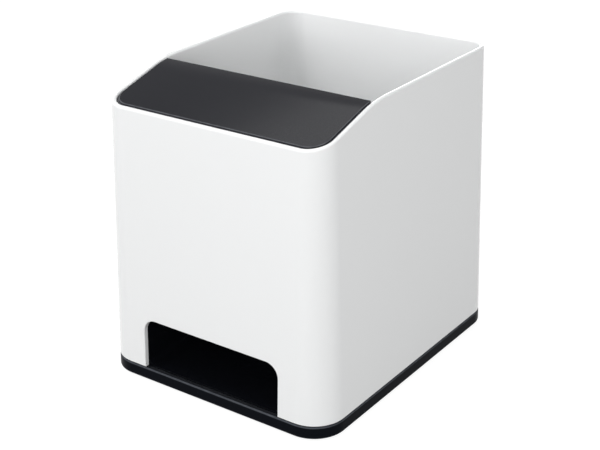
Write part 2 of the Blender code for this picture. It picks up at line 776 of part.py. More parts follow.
def make_phone_cradle(material, holder):
    inset = SHELL_WALL + FIT_GAP
    front_top = rim_height(CRADLE_FRONT_Y) - LEDGE_DROP
    slot_top = rim_height(BEND_Y) - LEDGE_DROP
    profile = [
        (CRADLE_FRONT_Y, CRADLE_BOTTOM),
        (CRADLE_REAR_Y, CRADLE_BOTTOM),
        (CRADLE_REAR_Y, DIVIDER_HEIGHT),
        (BEND_Y, slot_top - CHEEK_STEP),
        (BEND_Y, slot_top),
        (CRADLE_FRONT_Y, front_top),
    ]
    ends = [[(side * half_width(z, inset), y, z) for y, z in profile] for side in (-1, 1)]
    mesh = bmesh.new()
    add_loft(mesh, [[Vector(point) for point in end] for end in ends])
    pocket = bmesh.new()
    rings = []
    for z in (SLOT_FLOOR_HEIGHT, slot_top + OVERRUN):
        x = half_width(z, inset + CRADLE_WALL)
        rings.append(box_ring(-x, x, BEND_Y, CRADLE_REAR_Y + OVERRUN, z))
    add_loft(pocket, rings)
    throat = bmesh.new()
    low = (-THROAT_WIDTH / 2, THROAT_Y - THROAT_DEPTH / 2, CRADLE_BOTTOM - OVERRUN)
    add_box(throat, low, (THROAT_WIDTH / 2, THROAT_Y + THROAT_DEPTH / 2, SLOT_FLOOR_HEIGHT + OVERRUN))
    cradle = piece("phone_cradle", finished(mesh, "phone_cradle"), material, holder)
    combine(cradle, "DIFFERENCE", "cradle_pocket_cutter", pocket)
    combine(cradle, "DIFFERENCE", "cradle_throat_cutter", throat)


def make_throat_gasket(material, holder):
    low = SLOT_FLOOR_HEIGHT + FIT_GAP
    half_x = THROAT_WIDTH / 2 + GASKET_RIM
    half_y = SLOT_DEPTH / 2 - GASKET_CLEARANCE
    hole_x = THROAT_WIDTH / 2 + GASKET_HOLE_MARGIN
    hole_y = THROAT_DEPTH / 2 + GASKET_HOLE_MARGIN
    hole_radius = GASKET_CORNER_RADIUS * hole_y / half_y
    high = low + GASKET_THICKNESS
    mesh = bmesh.new()
    add_loft(
        mesh,
        [
            rounded_ring(half_x, half_y, GASKET_CORNER_RADIUS, THROAT_Y, low),
            rounded_ring(half_x, half_y, GASKET_CORNER_RADIUS, THROAT_Y, high),
            rounded_ring(hole_x, hole_y, hole_radius, THROAT_Y, high),
            rounded_ring(hole_x, hole_y, hole_radius, THROAT_Y, low),
        ],
        closed=True,
    )
    piece("throat_gasket", finished(mesh, "throat_gasket"), material, holder)


# Sound horn


def flange_front_y():
    """The flanges end here, clear of the shell's front bosses."""
    return -max(y for _, y in boss_places()) + BOSS_DIAMETER / 2 + FLANGE_CLEARANCE


def bend_end_y():
    return THROAT_Y - HORN_BEND_RADIUS


def horn_frames():
    """(middle, direction out of the bend, distance along the duct) from the throat to the mouth."""
    centre_y = THROAT_Y - HORN_BEND_RADIUS
    centre_z = MOUTH_MIDDLE + HORN_BEND_RADIUS
    frames = [(Vector((0, THROAT_Y, THROAT_Z)), Vector((0, 1, 0)), 0.0)]
    drop = THROAT_Z - centre_z
    for step in range(HORN_ARC_STEPS + 1):
        angle = math.radians(90) * step / HORN_ARC_STEPS
        outward = Vector((0, math.cos(angle), -math.sin(angle)))
        middle = Vector((0, centre_y, centre_z)) + outward * HORN_BEND_RADIUS
        frames.append((middle, outward, drop + HORN_BEND_RADIUS * angle))
    run = frames[-1][2]
    for y in (flange_front_y() + EMBED, flange_front_y(), MOUTH_Y):
        frames.append((Vector((0, y, MOUTH_MIDDLE)), Vector((0, 0, -1)), run + bend_end_y() - y))
    return frames


def duct_size(share):
    """(width, height) of the duct a share of the way along. The height grows as a horn's does."""
    mouth_height = MOUTH_TOP - MOUTH_FLOOR
    width = THROAT_WIDTH + (MOUTH_WIDTH - THROAT_WIDTH) * share
    return width, THROAT_DEPTH * (mouth_height / THROAT_DEPTH) ** share


def horn_section(width, height, side, flange):
    """(x, outward) points round one half of the duct: a trough with a flange along each edge."""
    deep = height / 2
    lip = FIT_GAP / 2
    half = width / 2
    inner_radius = deep * (LOWER_CORNER_SHARE if side > 0 else UPPER_CORNER_SHARE)
    inside = [(half, lip)]
    outside = [(half + HORN_WALL + flange, lip), (half + HORN_WALL + flange, lip + FLANGE_THICKNESS)]
    outside.append((half + HORN_WALL, lip + FLANGE_THICKNESS))
    for step in range(HORN_CORNER_STEPS + 1):
        angle = math.radians(90) * step / HORN_CORNER_STEPS
        across, down = math.cos(angle), math.sin(angle)
        corner_x, corner_n = half - inner_radius, deep - inner_radius
        inside.append((corner_x + inner_radius * across, corner_n + inner_radius * down))
        outer_radius = inner_radius + HORN_WALL
        outside.append((corner_x + outer_radius * across, corner_n + outer_radius * down))
    right_inside = list(reversed(inside))
    left_inside = [(-x, n) for x, n in inside]
    left_outside = [(-x, n) for x, n in reversed(outside)]
    points = right_inside + outside + left_outside + left_inside
    return [(x, side * n) for x, n in points]


def mouth_face_point(point):
    """Where a point of the duct's end lies on a face that leans back with the front wall."""
    return Vector((point.x, -half_depth(point.z, SEAT_WIDTH + FIT_GAP), point.z))


def horn_half(side):
    frames = horn_frames()
    length = frames[-1][2]
    rings = []
    for middle, outward, distance in frames:
        width, height = duct_size(distance / length)
        clear = middle.y <= flange_front_y() + EMBED / 2
        flange = FLANGE_BEAD if clear else FLANGE_WIDTH
        points = horn_section(width, height, side, flange)
        rings.append([middle + Vector((x, 0, 0)) + outward * n for x, n in points])
    rings[-1] = [mouth_face_point(point) for point in rings[-1]]
    mesh = bmesh.new()
    add_loft(mesh, rings)
    return mesh


def horn_saddles():
    """Upright ribs under the bend that stand on the base plate."""
    frames = horn_frames()
    length = frames[-1][2]
    foot = PLATE_FLOOR_TOP + FIT_GAP
    bend_run = HORN_BEND_RADIUS * math.radians(90)
    curve = []
    for step in range(HORN_ARC_STEPS + 1):
        spread = SADDLE_END_SHARE - SADDLE_START_SHARE
        share = SADDLE_START_SHARE + spread * step / HORN_ARC_STEPS
        angle = math.radians(90) * share
        outward = Vector((0, math.cos(angle), -math.sin(angle)))
        distance = frames[1][2] + bend_run * share
        _, height = duct_size(distance / length)
        middle = Vector((0, bend_end_y(), MOUTH_MIDDLE + HORN_BEND_RADIUS))
        reach = HORN_BEND_RADIUS + height / 2 + HORN_WALL - EMBED
        curve.append(middle + outward * reach)
    outline = curve + [Vector((0, curve[-1].y, foot)), Vector((0, curve[0].y, foot))]
    mesh = bmesh.new()
    for side in (-1, 1):
        x = side * SADDLE_PLACE_SHARE * THROAT_WIDTH
        edges = (x - SADDLE_THICKNESS / 2, x + SADDLE_THICKNESS / 2)
        add_loft(mesh, [[Vector((edge, point.y, point.z)) for point in outline] for edge in edges])
    return mesh


def horn_screw_places():
    y = (bend_end_y() + flange_front_y()) / 2
    frames = horn_frames()
    run = HORN_BEND_RADIUS * math.radians(90) + frames[1][2] + bend_end_y() - y
    width, _ = duct_size(run / frames[-1][2])
    x = width / 2 + HORN_WALL + FLANGE_WIDTH / 2
    return [(-x, y), (x, y)]


def horn_screw_tip():
    return MOUTH_MIDDLE - FIT_GAP / 2 - FLANGE_THICKNESS - HORN_BOSS_DEPTH + HORN_BOSS_COVER


def horn_bosses():
    high = MOUTH_MIDDLE - FIT_GAP / 2 - FLANGE_THICKNESS / 2
    low = MOUTH_MIDDLE - FIT_GAP / 2 - FLANGE_THICKNESS - HORN_BOSS_DEPTH
    mesh = bmesh.new()
    for x, y in horn_screw_places():
        add_column(mesh, x, y, HORN_BOSS_DIAMETER / 2, low, high)
    return mesh


def horn_screw_holes():
    radius = HORN_SCREW_SHANK_DIAMETER / 2 + FIT_GAP
    mesh = bmesh.new()
    for x, y in horn_screw_places():
        high = MOUTH_MIDDLE + FLANGE_THICKNESS + OVERRUN
        add_column(mesh, x, y, radius, horn_screw_tip() - FIT_GAP, high)
    return mesh


def make_horn(material, holder):
    lower = piece("horn_lower", finished(horn_half(1), "horn_lower"), material, holder)
    combine(lower, "UNION", "horn_saddles", horn_saddles())
    combine(lower, "UNION", "horn_bosses", horn_bosses())
    combine(lower, "DIFFERENCE", "horn_lower_screw_cutter", horn_screw_holes())
    upper = piece("horn_upper", finished(horn_half(-1), "horn_upper"), material, holder)
    combine(upper, "DIFFERENCE", "horn_upper_screw_cutter", horn_screw_holes())


def make_horn_screws(material, holder):
    seat = MOUTH_MIDDLE + FIT_GAP / 2 + FLANGE_THICKNESS + FIT_GAP
    data = screw_mesh(
        "horn_screw",
        HORN_SCREW_SHANK_DIAMETER,
        HORN_SCREW_HEAD_DIAMETER,
        HORN_SCREW_HEAD_HEIGHT,
        seat - horn_screw_tip(),
    )
    for name, (x, y) in zip(("horn_screw_left", "horn_screw_right"), horn_screw_places()):
        screw = piece(name, data, material, holder, (x, y, seat + HORN_SCREW_HEAD_HEIGHT))
        screw.rotation_euler = (math.pi, 0, 0)


def main():
    for old in list(bpy.data.objects):
        bpy.data.objects.remove(old)
    holder = bpy.data.objects.new("pen_holder", None)
    bpy.context.scene.collection.objects.link(holder)
    white = make_material(*SHELL_WHITE)
    anthracite = make_material(*PANEL_ANTHRACITE)
    black = make_material(*BASE_BLACK)
    rubber = make_material(*FOOT_RUBBER)
    steel = make_material(*SCREW_STEEL)
    make_outer_shell(white, holder)
    make_top_panel(anthracite, holder)
    make_base_plate(black, holder)
    make_feet(rubber, holder)
    make_base_screws(steel, holder)
    make_pen_floor(white, holder)
    make_divider_wall(white, holder)
    make_phone_cradle(black, holder)
    make_throat_gasket(rubber, holder)
    make_horn(black, holder)
    make_horn_screws(steel, holder)


main()
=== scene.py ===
"""The looks of a desk pen holder with a phone slot and a built-in sound horn.

Metres, +Z up. Seen from the front, +X is to the right and the front faces -Y. The part's solids are the
fixed frame. The pieces here stand for them with finer edges, and every surface gets its finish.
"""

import math

import bmesh
import bpy
from mathutils import Matrix, Vector


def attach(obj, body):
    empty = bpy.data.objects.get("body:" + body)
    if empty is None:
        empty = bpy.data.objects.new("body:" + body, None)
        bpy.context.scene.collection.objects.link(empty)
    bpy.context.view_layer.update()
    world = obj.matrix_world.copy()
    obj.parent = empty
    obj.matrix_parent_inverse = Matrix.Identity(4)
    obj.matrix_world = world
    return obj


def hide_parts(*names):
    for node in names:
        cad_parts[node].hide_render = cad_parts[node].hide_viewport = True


# Body, as in the solids
BODY_WIDTH = 0.0885
BODY_DEPTH = 0.1066
CORNER_RADIUS = 0.011
DRAFT = math.tan(math.radians(1.75))
SHELL_WALL = 0.0016
FIT_GAP = 0.0003
FRONT_Y = -BODY_DEPTH / 2
REAR_Y = BODY_DEPTH / 2

# Rim: a slope at the front, a soft bend and a nearly level run to the back
REAR_RIM_HEIGHT = 0.1019
BEND_RIM_DROP = 0.0007
FRONT_RIM_DROP = 0.0097
BEND_SETBACK = 0.0318
BEND_LENGTH = 0.012
BEND_Y = FRONT_Y + BEND_SETBACK
BEND_Z = REAR_RIM_HEIGHT - BEND_RIM_DROP
FRONT_Z = REAR_RIM_HEIGHT - FRONT_RIM_DROP
FRONT_SLOPE = (BEND_Z - FRONT_Z) / (BEND_Y - FRONT_Y)
REAR_SLOPE = (REAR_RIM_HEIGHT - BEND_Z) / (REAR_Y - BEND_Y)
RIM_EDGE_RADIUS = 0.0006
RIM_INNER_RADIUS = 0.0009

# Base plate, and the foot of the shell above it
FOOT_PROUD = 0.0006
BASE_EDGE_HEIGHT = 0.00415
BASE_FLOOR = 0.0026
BASE_EDGE_RADIUS = 0.0005
SEAT_MARGIN = 0.0002
PLATE_BOTTOM = FOOT_PROUD
PLATE_TOP = PLATE_BOTTOM + BASE_EDGE_HEIGHT
PLATE_FLOOR_TOP = PLATE_BOTTOM + BASE_FLOOR
SEAT_WIDTH = SHELL_WALL + SEAT_MARGIN
SHELL_BOTTOM = PLATE_TOP + FIT_GAP
SHELL_CHAMFER = 0.0002

# Mouth
MOUTH_WIDTH = 0.0537
MOUTH_TOP = 0.0227
MOUTH_CORNER_RADIUS = 0.0046
MOUTH_EDGE_RADIUS = 0.0004
MOUTH_DEPTH = 0.004

# Panel
PANEL_RECESS = 0.0002
PANEL_THICKNESS = 0.0022
PANEL_GAP = 0.00015
PANEL_GROOVE_WIDTH = 0.0005
PANEL_GROOVE_DEPTH = 0.0008
PANEL_BEAD_RADIUS = 0.00025

# Guides inside the shell, behind the divider and above the pen floor
SLOT_DEPTH = 0.013
DIVIDER_WALL = 0.0018
DIVIDER_HEIGHT = 0.086
PEN_FLOOR_HEIGHT = 0.0176
GUIDE_WIDTH = 0.0012
GUIDE_PROUD = 0.0016
GUIDE_TOP_DROP = 0.002
GUIDE_FRONT_Y = BEND_Y + SLOT_DEPTH + DIVIDER_WALL + FIT_GAP
GUIDE_LOW = PEN_FLOOR_HEIGHT + FIT_GAP
GUIDE_HIGH = DIVIDER_HEIGHT - GUIDE_TOP_DROP

# Rubber feet, each with two shallow grooves round its tread
FOOT_INSET = 0.013147
FOOT_RADIUS = 0.005
FOOT_SINK = 0.001
FOOT_RECESS_TOP = PLATE_BOTTOM + FOOT_SINK
FOOT_TOP = FOOT_RECESS_TOP - FIT_GAP
FOOT_EDGE_RADIUS = 0.0003
GROOVE_RADII = (0.0012, 0.0032)
GROOVE_WIDTH = 0.0003
GROOVE_FLANK = 0.0001
GROOVE_DEPTH = 0.00015

# Base screws. Shares are of the head's radius or height, and of the shank's radius at the point.
SCREW_INSET = 0.006288
SCREW_SHANK_RADIUS = 0.00145
SCREW_HEAD_RADIUS = 0.0026
SCREW_HEAD_HEIGHT = 0.0015
SCREW_HEAD_SETBACK = 0.0002
SCREW_BOTTOM = PLATE_BOTTOM + SCREW_HEAD_SETBACK
SCREW_SEAT = SCREW_BOTTOM + SCREW_HEAD_HEIGHT + FIT_GAP
SCREW_TOP = 0.0118
HEAD_EDGE_SHARE = 1 / 3
CROSS_LENGTH_SHARE = 0.62
CROSS_WIDTH_SHARE = 0.16
CROSS_DEPTH_SHARE = 0.6
POINT_LENGTH = 0.0015
POINT_WIDTH_SHARE = 0.35
THREAD_PITCH = 0.0012
THREAD_HEIGHT = 0.0002

# Steps of the curves
CORNER_STEPS = 20
BEND_STEPS = 14
SIDE_STEPS = 18
EDGE_STEPS = 6
CHAMFER_STEPS = 2
SOFT_EDGE_STEPS = 3
MOUTH_CORNER_STEPS = 12
CIRCLE_STEPS = 48
SCREW_STEPS = 24
THREAD_TURN_STEPS = 10

# Joining, rounding and shading
EMBED = 0.0006
OVERRUN = 0.002
WELD_REACH = 0.000002
JOIN_REACH = 0.00001
FLAT_ANGLE = math.radians(1)
CREST_ANGLE = math.radians(10)
SMOOTH_ANGLE = math.radians(32)
EDGE_ANGLE = math.radians(40)
PANEL_EDGE_ANGLE = math.radians(60)
PANEL_EDGE_WIDTH = 0.0001
SOFT_EDGE_WIDTH = 0.0002
CRADLE_EDGE_WIDTH = 0.0003
FLAT_FACE_WEIGHT = 60

# Copies turn by seeded amounts, and rim heights settle in rounds.
COPIES_SEED = 4
RIM_ROUNDS = 4

# What the points of a grid carry until the wall is made
WALL_DATA = ("hub", "lean", "inset", "level", "hung")

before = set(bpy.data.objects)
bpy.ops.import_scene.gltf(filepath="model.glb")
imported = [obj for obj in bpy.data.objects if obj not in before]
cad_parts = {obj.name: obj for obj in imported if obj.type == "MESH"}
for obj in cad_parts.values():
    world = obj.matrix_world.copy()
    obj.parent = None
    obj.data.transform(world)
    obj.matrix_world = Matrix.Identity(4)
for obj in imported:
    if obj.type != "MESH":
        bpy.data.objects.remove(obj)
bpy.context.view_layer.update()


# Objects and meshes


def plain_object(name, data):
    made = bpy.data.objects.new(name, data)
    bpy.context.scene.collection.objects.link(made)
    return made


def mesh_data(name, mesh):
    """Keeps what was built, with its faces pointing outwards."""
    bmesh.ops.recalc_face_normals(mesh, faces=mesh.faces)
    data = bpy.data.meshes.new(name)
    mesh.to_mesh(data)
    mesh.free()
    return data


# Node trees


def add_node(tree, kind, inputs=None, **settings):
    """Adds a node with its settings. Each input takes a socket, which is linked, or a value."""
    node = tree.nodes.new(kind)
    for key, value in settings.items():
        setattr(node, key, value)
    for key, value in (inputs or {}).items():
        if isinstance(value, bpy.types.NodeSocket):
            tree.links.new(value, node.inputs[key])
        else:
            node.inputs[key].default_value = value
    return node


def maths(tree, operation, *values, clamp=False):
    """The result of one sum on sockets or values."""
    inputs = dict(enumerate(values))
    return add_node(tree, "ShaderNodeMath", inputs, operation=operation, use_clamp=clamp).outputs[0]


def new_group(name, kind, inputs, outputs):
    """A node group with named sockets, and its input and output nodes."""
    group = bpy.data.node_groups.new(name, kind)
    for socket_name, socket_kind, value in inputs:
        socket = group.interface.new_socket(socket_name, in_out="INPUT", socket_type=socket_kind)
        if value is not None:
            socket.default_value = value
    for socket_name, socket_kind in outputs:
        group.interface.new_socket(socket_name, in_out="OUTPUT", socket_type=socket_kind)
    entry = group.nodes.new("NodeGroupInput")
    leave = group.nodes.new("NodeGroupOutput")
    return group, entry.outputs, leave.inputs


FLOAT = "NodeSocketFloat"
GEOMETRY = "NodeSocketGeometry"
RIM_SIZES = {
    "Corner Radius": CORNER_RADIUS,
    "Draft": DRAFT,
    "Foot Level": PLATE_BOTTOM,
    "Bend Y": BEND_Y,
    "Bend Z": BEND_Z,
    "Front Slope": FRONT_SLOPE,
    "Rear Slope": REAR_SLOPE,
    "Bend Length": BEND_LENGTH,
}


def rim_height_group():
    """Height of the rim at a place Y, from the two slopes and the soft bend between them."""
    inputs = [("Y", FLOAT, 0.0)] + [(name, FLOAT, value) for name, value in RIM_SIZES.items()]
    tree, size, out = new_group("rim_height", "GeometryNodeTree", inputs, [("Height", FLOAT)])
    run = maths(tree, "SUBTRACT", size["Y"], size["Bend Y"])
    reach = maths(tree, "DIVIDE", size["Bend Length"], 2)
    turned = maths(tree, "ADD", run, reach)
    turned = maths(tree, "MAXIMUM", turned, 0)
    turned = maths(tree, "MINIMUM", turned, size["Bend Length"])
    bent = maths(tree, "MULTIPLY", turned, turned)
    bent = maths(tree, "DIVIDE", bent, maths(tree, "MULTIPLY", size["Bend Length"], 2))
    beyond = maths(tree, "MAXIMUM", maths(tree, "SUBTRACT", run, reach), 0)
    change = maths(tree, "SUBTRACT", size["Rear Slope"], size["Front Slope"])
    added = maths(tree, "MULTIPLY", change, maths(tree, "ADD", bent, beyond))
    sloped = maths(tree, "MULTIPLY_ADD", run, size["Front Slope"], size["Bend Z"])
    tree.links.new(maths(tree, "ADD", sloped, added), out["Height"])
    return tree


def moulded_wall_tree(rim_group):
    """Puts each point of a grid on the drafted body.

    A point knows its hub and lean (the centre and direction of its corner or side), its inset from the
    outer face, and its level, which is a height or, where it is hung, a drop below the rim.
    """
    inputs = [("Geometry", GEOMETRY, None)] + [(name, FLOAT, value) for name, value in RIM_SIZES.items()]
    inputs.append(("Material", "NodeSocketMaterial", None))
    tree, size, out = new_group("moulded_wall", "GeometryNodeTree", inputs, [("Geometry", GEOMETRY)])

    def stored(name, kind):
        node = add_node(tree, "GeometryNodeInputNamedAttribute", {"Name": name}, data_type=kind)
        return next(socket for socket in node.outputs if socket.name == "Attribute" and socket.enabled)

    hub = add_node(tree, "ShaderNodeSeparateXYZ", {0: stored("hub", "FLOAT_VECTOR")}).outputs
    lean = add_node(tree, "ShaderNodeSeparateXYZ", {0: stored("lean", "FLOAT_VECTOR")}).outputs
    level = stored("level", "FLOAT")
    hung = stored("hung", "FLOAT")
    reach = maths(tree, "SUBTRACT", size["Corner Radius"], stored("inset", "FLOAT"))
    rim_sizes = {name: size[name] for name in RIM_SIZES}
    # The rim's height depends on Y, and Y depends on the height by the draft, so they settle in rounds.
    height = size["Bend Z"]
    for _ in range(RIM_ROUNDS):
        risen = maths(tree, "SUBTRACT", height, size["Foot Level"])
        span = maths(tree, "SUBTRACT", reach, maths(tree, "MULTIPLY", risen, size["Draft"]))
        y = maths(tree, "MULTIPLY_ADD", lean["Y"], span, hub["Y"])
        rim = add_node(tree, "GeometryNodeGroup", {"Y": y, **rim_sizes}, node_tree=rim_group)
        # Where hung is 1 the height is the rim's less the level, and where it is 0 the level itself.
        from_rim = maths(tree, "MULTIPLY_ADD", level, -2, rim.outputs["Height"])
        height = maths(tree, "MULTIPLY_ADD", hung, from_rim, level)
    risen = maths(tree, "SUBTRACT", height, size["Foot Level"])
    span = maths(tree, "SUBTRACT", reach, maths(tree, "MULTIPLY", risen, size["Draft"]))
    x = maths(tree, "MULTIPLY_ADD", lean["X"], span, hub["X"])
    y = maths(tree, "MULTIPLY_ADD", lean["Y"], span, hub["Y"])
    place = add_node(tree, "ShaderNodeCombineXYZ", {"X": x, "Y": y, "Z": height}).outputs[0]
    moved = add_node(tree, "GeometryNodeSetPosition", {"Geometry": size["Geometry"], "Position": place})
    real = add_node(tree, "GeometryNodeRealizeInstances", {"Geometry": moved.outputs[0]})
    dressed = {"Geometry": real.outputs[0], "Material": size["Material"]}
    tree.links.new(add_node(tree, "GeometryNodeSetMaterial", dressed).outputs[0], out["Geometry"])
    return tree


def set_out_tree():
    """Sets a copy of a piece on every point, each turned by its own seeded amount."""
    inputs = [
        ("Geometry", GEOMETRY, None),
        ("Piece", "NodeSocketObject", None),
        ("Turn", FLOAT, math.tau),
        ("Seed", "NodeSocketInt", COPIES_SEED),
        ("Material", "NodeSocketMaterial", None),
    ]
    tree, size, out = new_group("set_out", "GeometryNodeTree", inputs, [("Geometry", GEOMETRY)])
    piece = add_node(tree, "GeometryNodeObjectInfo", {"Object": size["Piece"]})
    turn = add_node(tree, "FunctionNodeRandomValue", {"Seed": size["Seed"]}, data_type="FLOAT")
    turn = next(socket for socket in turn.outputs if socket.enabled)
    turned = maths(tree, "MULTIPLY", turn, size["Turn"])
    rotation = add_node(tree, "ShaderNodeCombineXYZ", {"Z": turned}).outputs[0]
    copies = {"Points": size["Geometry"], "Instance": piece.outputs["Geometry"], "Rotation": rotation}
    copies = add_node(tree, "GeometryNodeInstanceOnPoints", copies)
    real = add_node(tree, "GeometryNodeRealizeInstances", {"Geometry": copies.outputs[0]})
    dressed = {"Geometry": real.outputs[0], "Material": size["Material"]}
    tree.links.new(add_node(tree, "GeometryNodeSetMaterial", dressed).outputs[0], out["Geometry"])
    return tree


def grown(name, data, tree, values):
    """The plain mesh that a tree makes of some data, with the named inputs set."""
    holder = plain_object(name + "_seed", data)
    modifier = holder.modifiers.new("tree", "NODES")
    modifier.node_group = tree
    for item in tree.interface.items_tree:
        if item.in_out == "INPUT" and item.name in values:
            modifier[item.identifier] = values[item.name]
    graph = bpy.context.evaluated_depsgraph_get()
    made = bpy.data.meshes.new_from_object(holder.evaluated_get(graph))
    bpy.data.objects.remove(holder)
    made.name = name
    return made


# Outline of the body. Each entry is (hub, lean): the centre and the direction of a corner or a side.


def quarter_turns(steps):
    """Angles from 0 to 90 degrees."""
    return [math.radians(90) * step / steps for step in range(steps + 1)]


def corner_places(side, end, towards_end):
    """Round one corner, from its side towards its end face or the other way."""
    hub = (side * (BODY_WIDTH / 2 - CORNER_RADIUS), end * (BODY_DEPTH / 2 - CORNER_RADIUS))
    angles = quarter_turns(CORNER_STEPS)
    if not towards_end:
        angles.reverse()
    return [(hub, (side * math.cos(angle), end * math.sin(angle))) for angle in angles]


def side_places(side, ys):
    """Along one side, at each Y."""
    return [((side * (BODY_WIDTH / 2 - CORNER_RADIUS), y), (side, 0)) for y in ys]


def whole_outline():
    """Counter-clockwise from the right side's front end, with extra places along the rim's bend."""
    bends = [BEND_Y + BEND_LENGTH * (step / BEND_STEPS - 0.5) for step in range(BEND_STEPS + 1)]
    back = corner_places(1, 1, True) + corner_places(-1, 1, False)
    front = corner_places(-1, -1, True) + corner_places(1, -1, False)
    return side_places(1, bends) + back + side_places(-1, bends[::-1]) + front


def front_outline(rear_y):
    """From rear_y along the left side, round the front and up the right side."""
    tangent = CORNER_RADIUS - BODY_DEPTH / 2
    ys = [rear_y + (tangent - rear_y) * step / SIDE_STEPS for step in range(SIDE_STEPS)]
    corners = corner_places(-1, -1, True) + corner_places(1, -1, False)
    return side_places(-1, ys) + corners + side_places(1, ys[::-1])


def edge_up(radius, inset, drop):
    """A quarter round that climbs from an outer face to the top, as insets and drops."""
    turns = quarter_turns(EDGE_STEPS)
    return [(inset + radius * (1 - math.cos(a)), drop + radius * (1 - math.sin(a))) for a in turns]


def edge_down(radius, inset, drop):
    """A quarter round that falls from the top to an inner face."""
    turns = quarter_turns(EDGE_STEPS)
    return [(inset - radius * (1 - math.sin(a)), drop + radius * (1 - math.cos(a))) for a in turns]


def below_rim(pairs):
    """Rows of a grid, from insets and drops below the rim."""
    return [(inset, drop, 1.0) for inset, drop in pairs]


def at_heights(pairs):
    """Rows of a grid, from insets and heights."""
    return [(inset, height, 0.0) for inset, height in pairs]


def rim_height(y):
    """Height of the rim, by the same rule as the node group."""
    run = y - BEND_Y
    reach = BEND_LENGTH / 2
    turned = min(max(run + reach, 0), BEND_LENGTH)
    bent = turned**2 / (2 * BEND_LENGTH) + max(run - reach, 0)
    return BEND_Z + FRONT_SLOPE * run + (REAR_SLOPE - FRONT_SLOPE) * bent


def crests(rows):
    """1 for each row that lies on a rounded edge, and 0 for those on a flat face or at an end."""
    marks = [0.0]
    for before, here, after in zip(rows, rows[1:], rows[2:]):
        arrive = Vector((here[0] - before[0], here[1] - before[1]))
        leave = Vector((after[0] - here[0], after[1] - here[1]))
        alike = before[2] == here[2] == after[2]
        marks.append(1.0 if alike and arrive.angle(leave, 0.0) > CREST_ANGLE else 0.0)
    return marks + [0.0]


def wall_grid(name, path, rows, closed):
    """A grid whose points carry what the wall tree needs. Its rows close into a loop or are capped.

    The crest of a point stays in the finished mesh, because the wear and the painted edge highlight read
    it.
    """
    mesh = bmesh.new()
    hub_of = mesh.verts.layers.float_vector.new("hub")
    lean_of = mesh.verts.layers.float_vector.new("lean")
    numbers = {key: mesh.verts.layers.float.new(key) for key in ("inset", "level", "hung", "crest")}
    grid = []
    for (inset, height, is_hung), crest in zip(rows, crests(rows)):
        ring = []
        for hub, lean in path:
            span = CORNER_RADIUS - inset
            x, y = hub[0] + lean[0] * span, hub[1] + lean[1] * span
            vertex = mesh.verts.new((x, y, rim_height(y) - height if is_hung else height))
            vertex[hub_of] = (*hub, 0)
            vertex[lean_of] = (*lean, 0)
            for key, value in zip(numbers, (inset, height, is_hung, crest)):
                vertex[numbers[key]] = value
            ring.append(vertex)
        grid.append(ring)
    count = len(path)
    for low, high in zip(grid, grid[1:] + grid[:1] if closed else grid[1:]):
        for here in range(count):
            there = (here + 1) % count
            mesh.faces.new((low[here], low[there], high[there], high[here]))
    if not closed:
        # Each cap is a strip of quads that spans the body from the outline's one half to its other.
        for ring in (grid[0], grid[-1]):
            for here in range(count // 2 - 1):
                quad = (ring[here], ring[here + 1], ring[count - 2 - here], ring[count - 1 - here])
                mesh.faces.new(quad)
    return mesh_data(name, mesh)


# Finishing


def applied(target, name):
    """Replaces an object by the plain mesh that its modifiers make, without the wall's own data."""
    graph = bpy.context.evaluated_depsgraph_get()
    data = bpy.data.meshes.new_from_object(target.evaluated_get(graph))
    bpy.data.objects.remove(target)
    data.name = name
    for key in WALL_DATA:
        if key in data.attributes:
            data.attributes.remove(data.attributes[key])
    return plain_object(name, data)


def cut_or_join(target, operation, name, mesh):
    """Adds a Boolean with a helper body, and gives the helper back for removal."""
    helper = plain_object(name, mesh_data(name, mesh))
    modifier = target.modifiers.new(name, "BOOLEAN")
    modifier.operation = operation
    modifier.solver = "EXACT"
    modifier.object = helper
    return helper


def smooth_finish(target, edge_width=0.0, edge_angle=EDGE_ANGLE):
    """Adds small rounded edges if asked, and normals that keep the flat faces flat."""
    target.data.shade_smooth()
    if edge_width:
        edge = target.modifiers.new("edges", "BEVEL")
        edge.width = edge_width
        edge.segments = SOFT_EDGE_STEPS
        edge.limit_method = "ANGLE"
        edge.angle_limit = edge_angle
        edge.use_clamp_overlap = True
    normals = target.modifiers.new("normals", "WEIGHTED_NORMAL")
    normals.keep_sharp = True
    normals.weight = FLAT_FACE_WEIGHT


def dress(target, material, slot, *nodes):
    """Gives a finished piece its material, hangs it under the root body, and hides the solids that it
    stands for.
    """
    target.data.materials.clear()
    target.data.materials.append(material)
    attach(target, "root")
    if nodes:
        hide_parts(*nodes)
    return target


def softened(node, name, edge_width, material, slot):
    """A copy of a solid with its flat faces whole again and its edges rounded."""
    mesh = bmesh.new()
    mesh.from_mesh(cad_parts[node].data)
    bmesh.ops.remove_doubles(mesh, verts=mesh.verts, dist=JOIN_REACH)
    bmesh.ops.dissolve_limit(
        mesh, angle_limit=FLAT_ANGLE, verts=mesh.verts, edges=mesh.edges, delimit=set()
    )
    target = plain_object(name + "_block", mesh_data(name, mesh))
    smooth_finish(target, edge_width)
    return dress(applied(target, name), material, slot, node)


def ring_points(x, y, z, radius, steps=CIRCLE_STEPS):
    """A level circle of points round an upright axis."""
    turns = [math.tau * step / steps for step in range(steps)]
    return [Vector((x + radius * math.cos(a), y + radius * math.sin(a), z)) for a in turns]


def add_skin(mesh, rings):
    """Joins rings of points into a closed body with a cap at each end."""
    rows = [[mesh.verts.new(point) for point in ring] for ring in rings]
    count = len(rows[0])
    for low, high in zip(rows, rows[1:]):
        for here in range(count):
            there = (here + 1) % count
            mesh.faces.new((low[here], low[there], high[there], high[here]))
    mesh.faces.new(rows[0])
    mesh.faces.new(rows[-1])


# Outer shell


def half_width(z, inset):
    """From the middle to the drafted side wall at height z, or to an inset inside it."""
    return BODY_WIDTH / 2 - (z - PLATE_BOTTOM) * DRAFT - inset


def half_depth(z, inset):
    return BODY_DEPTH / 2 - (z - PLATE_BOTTOM) * DRAFT - inset


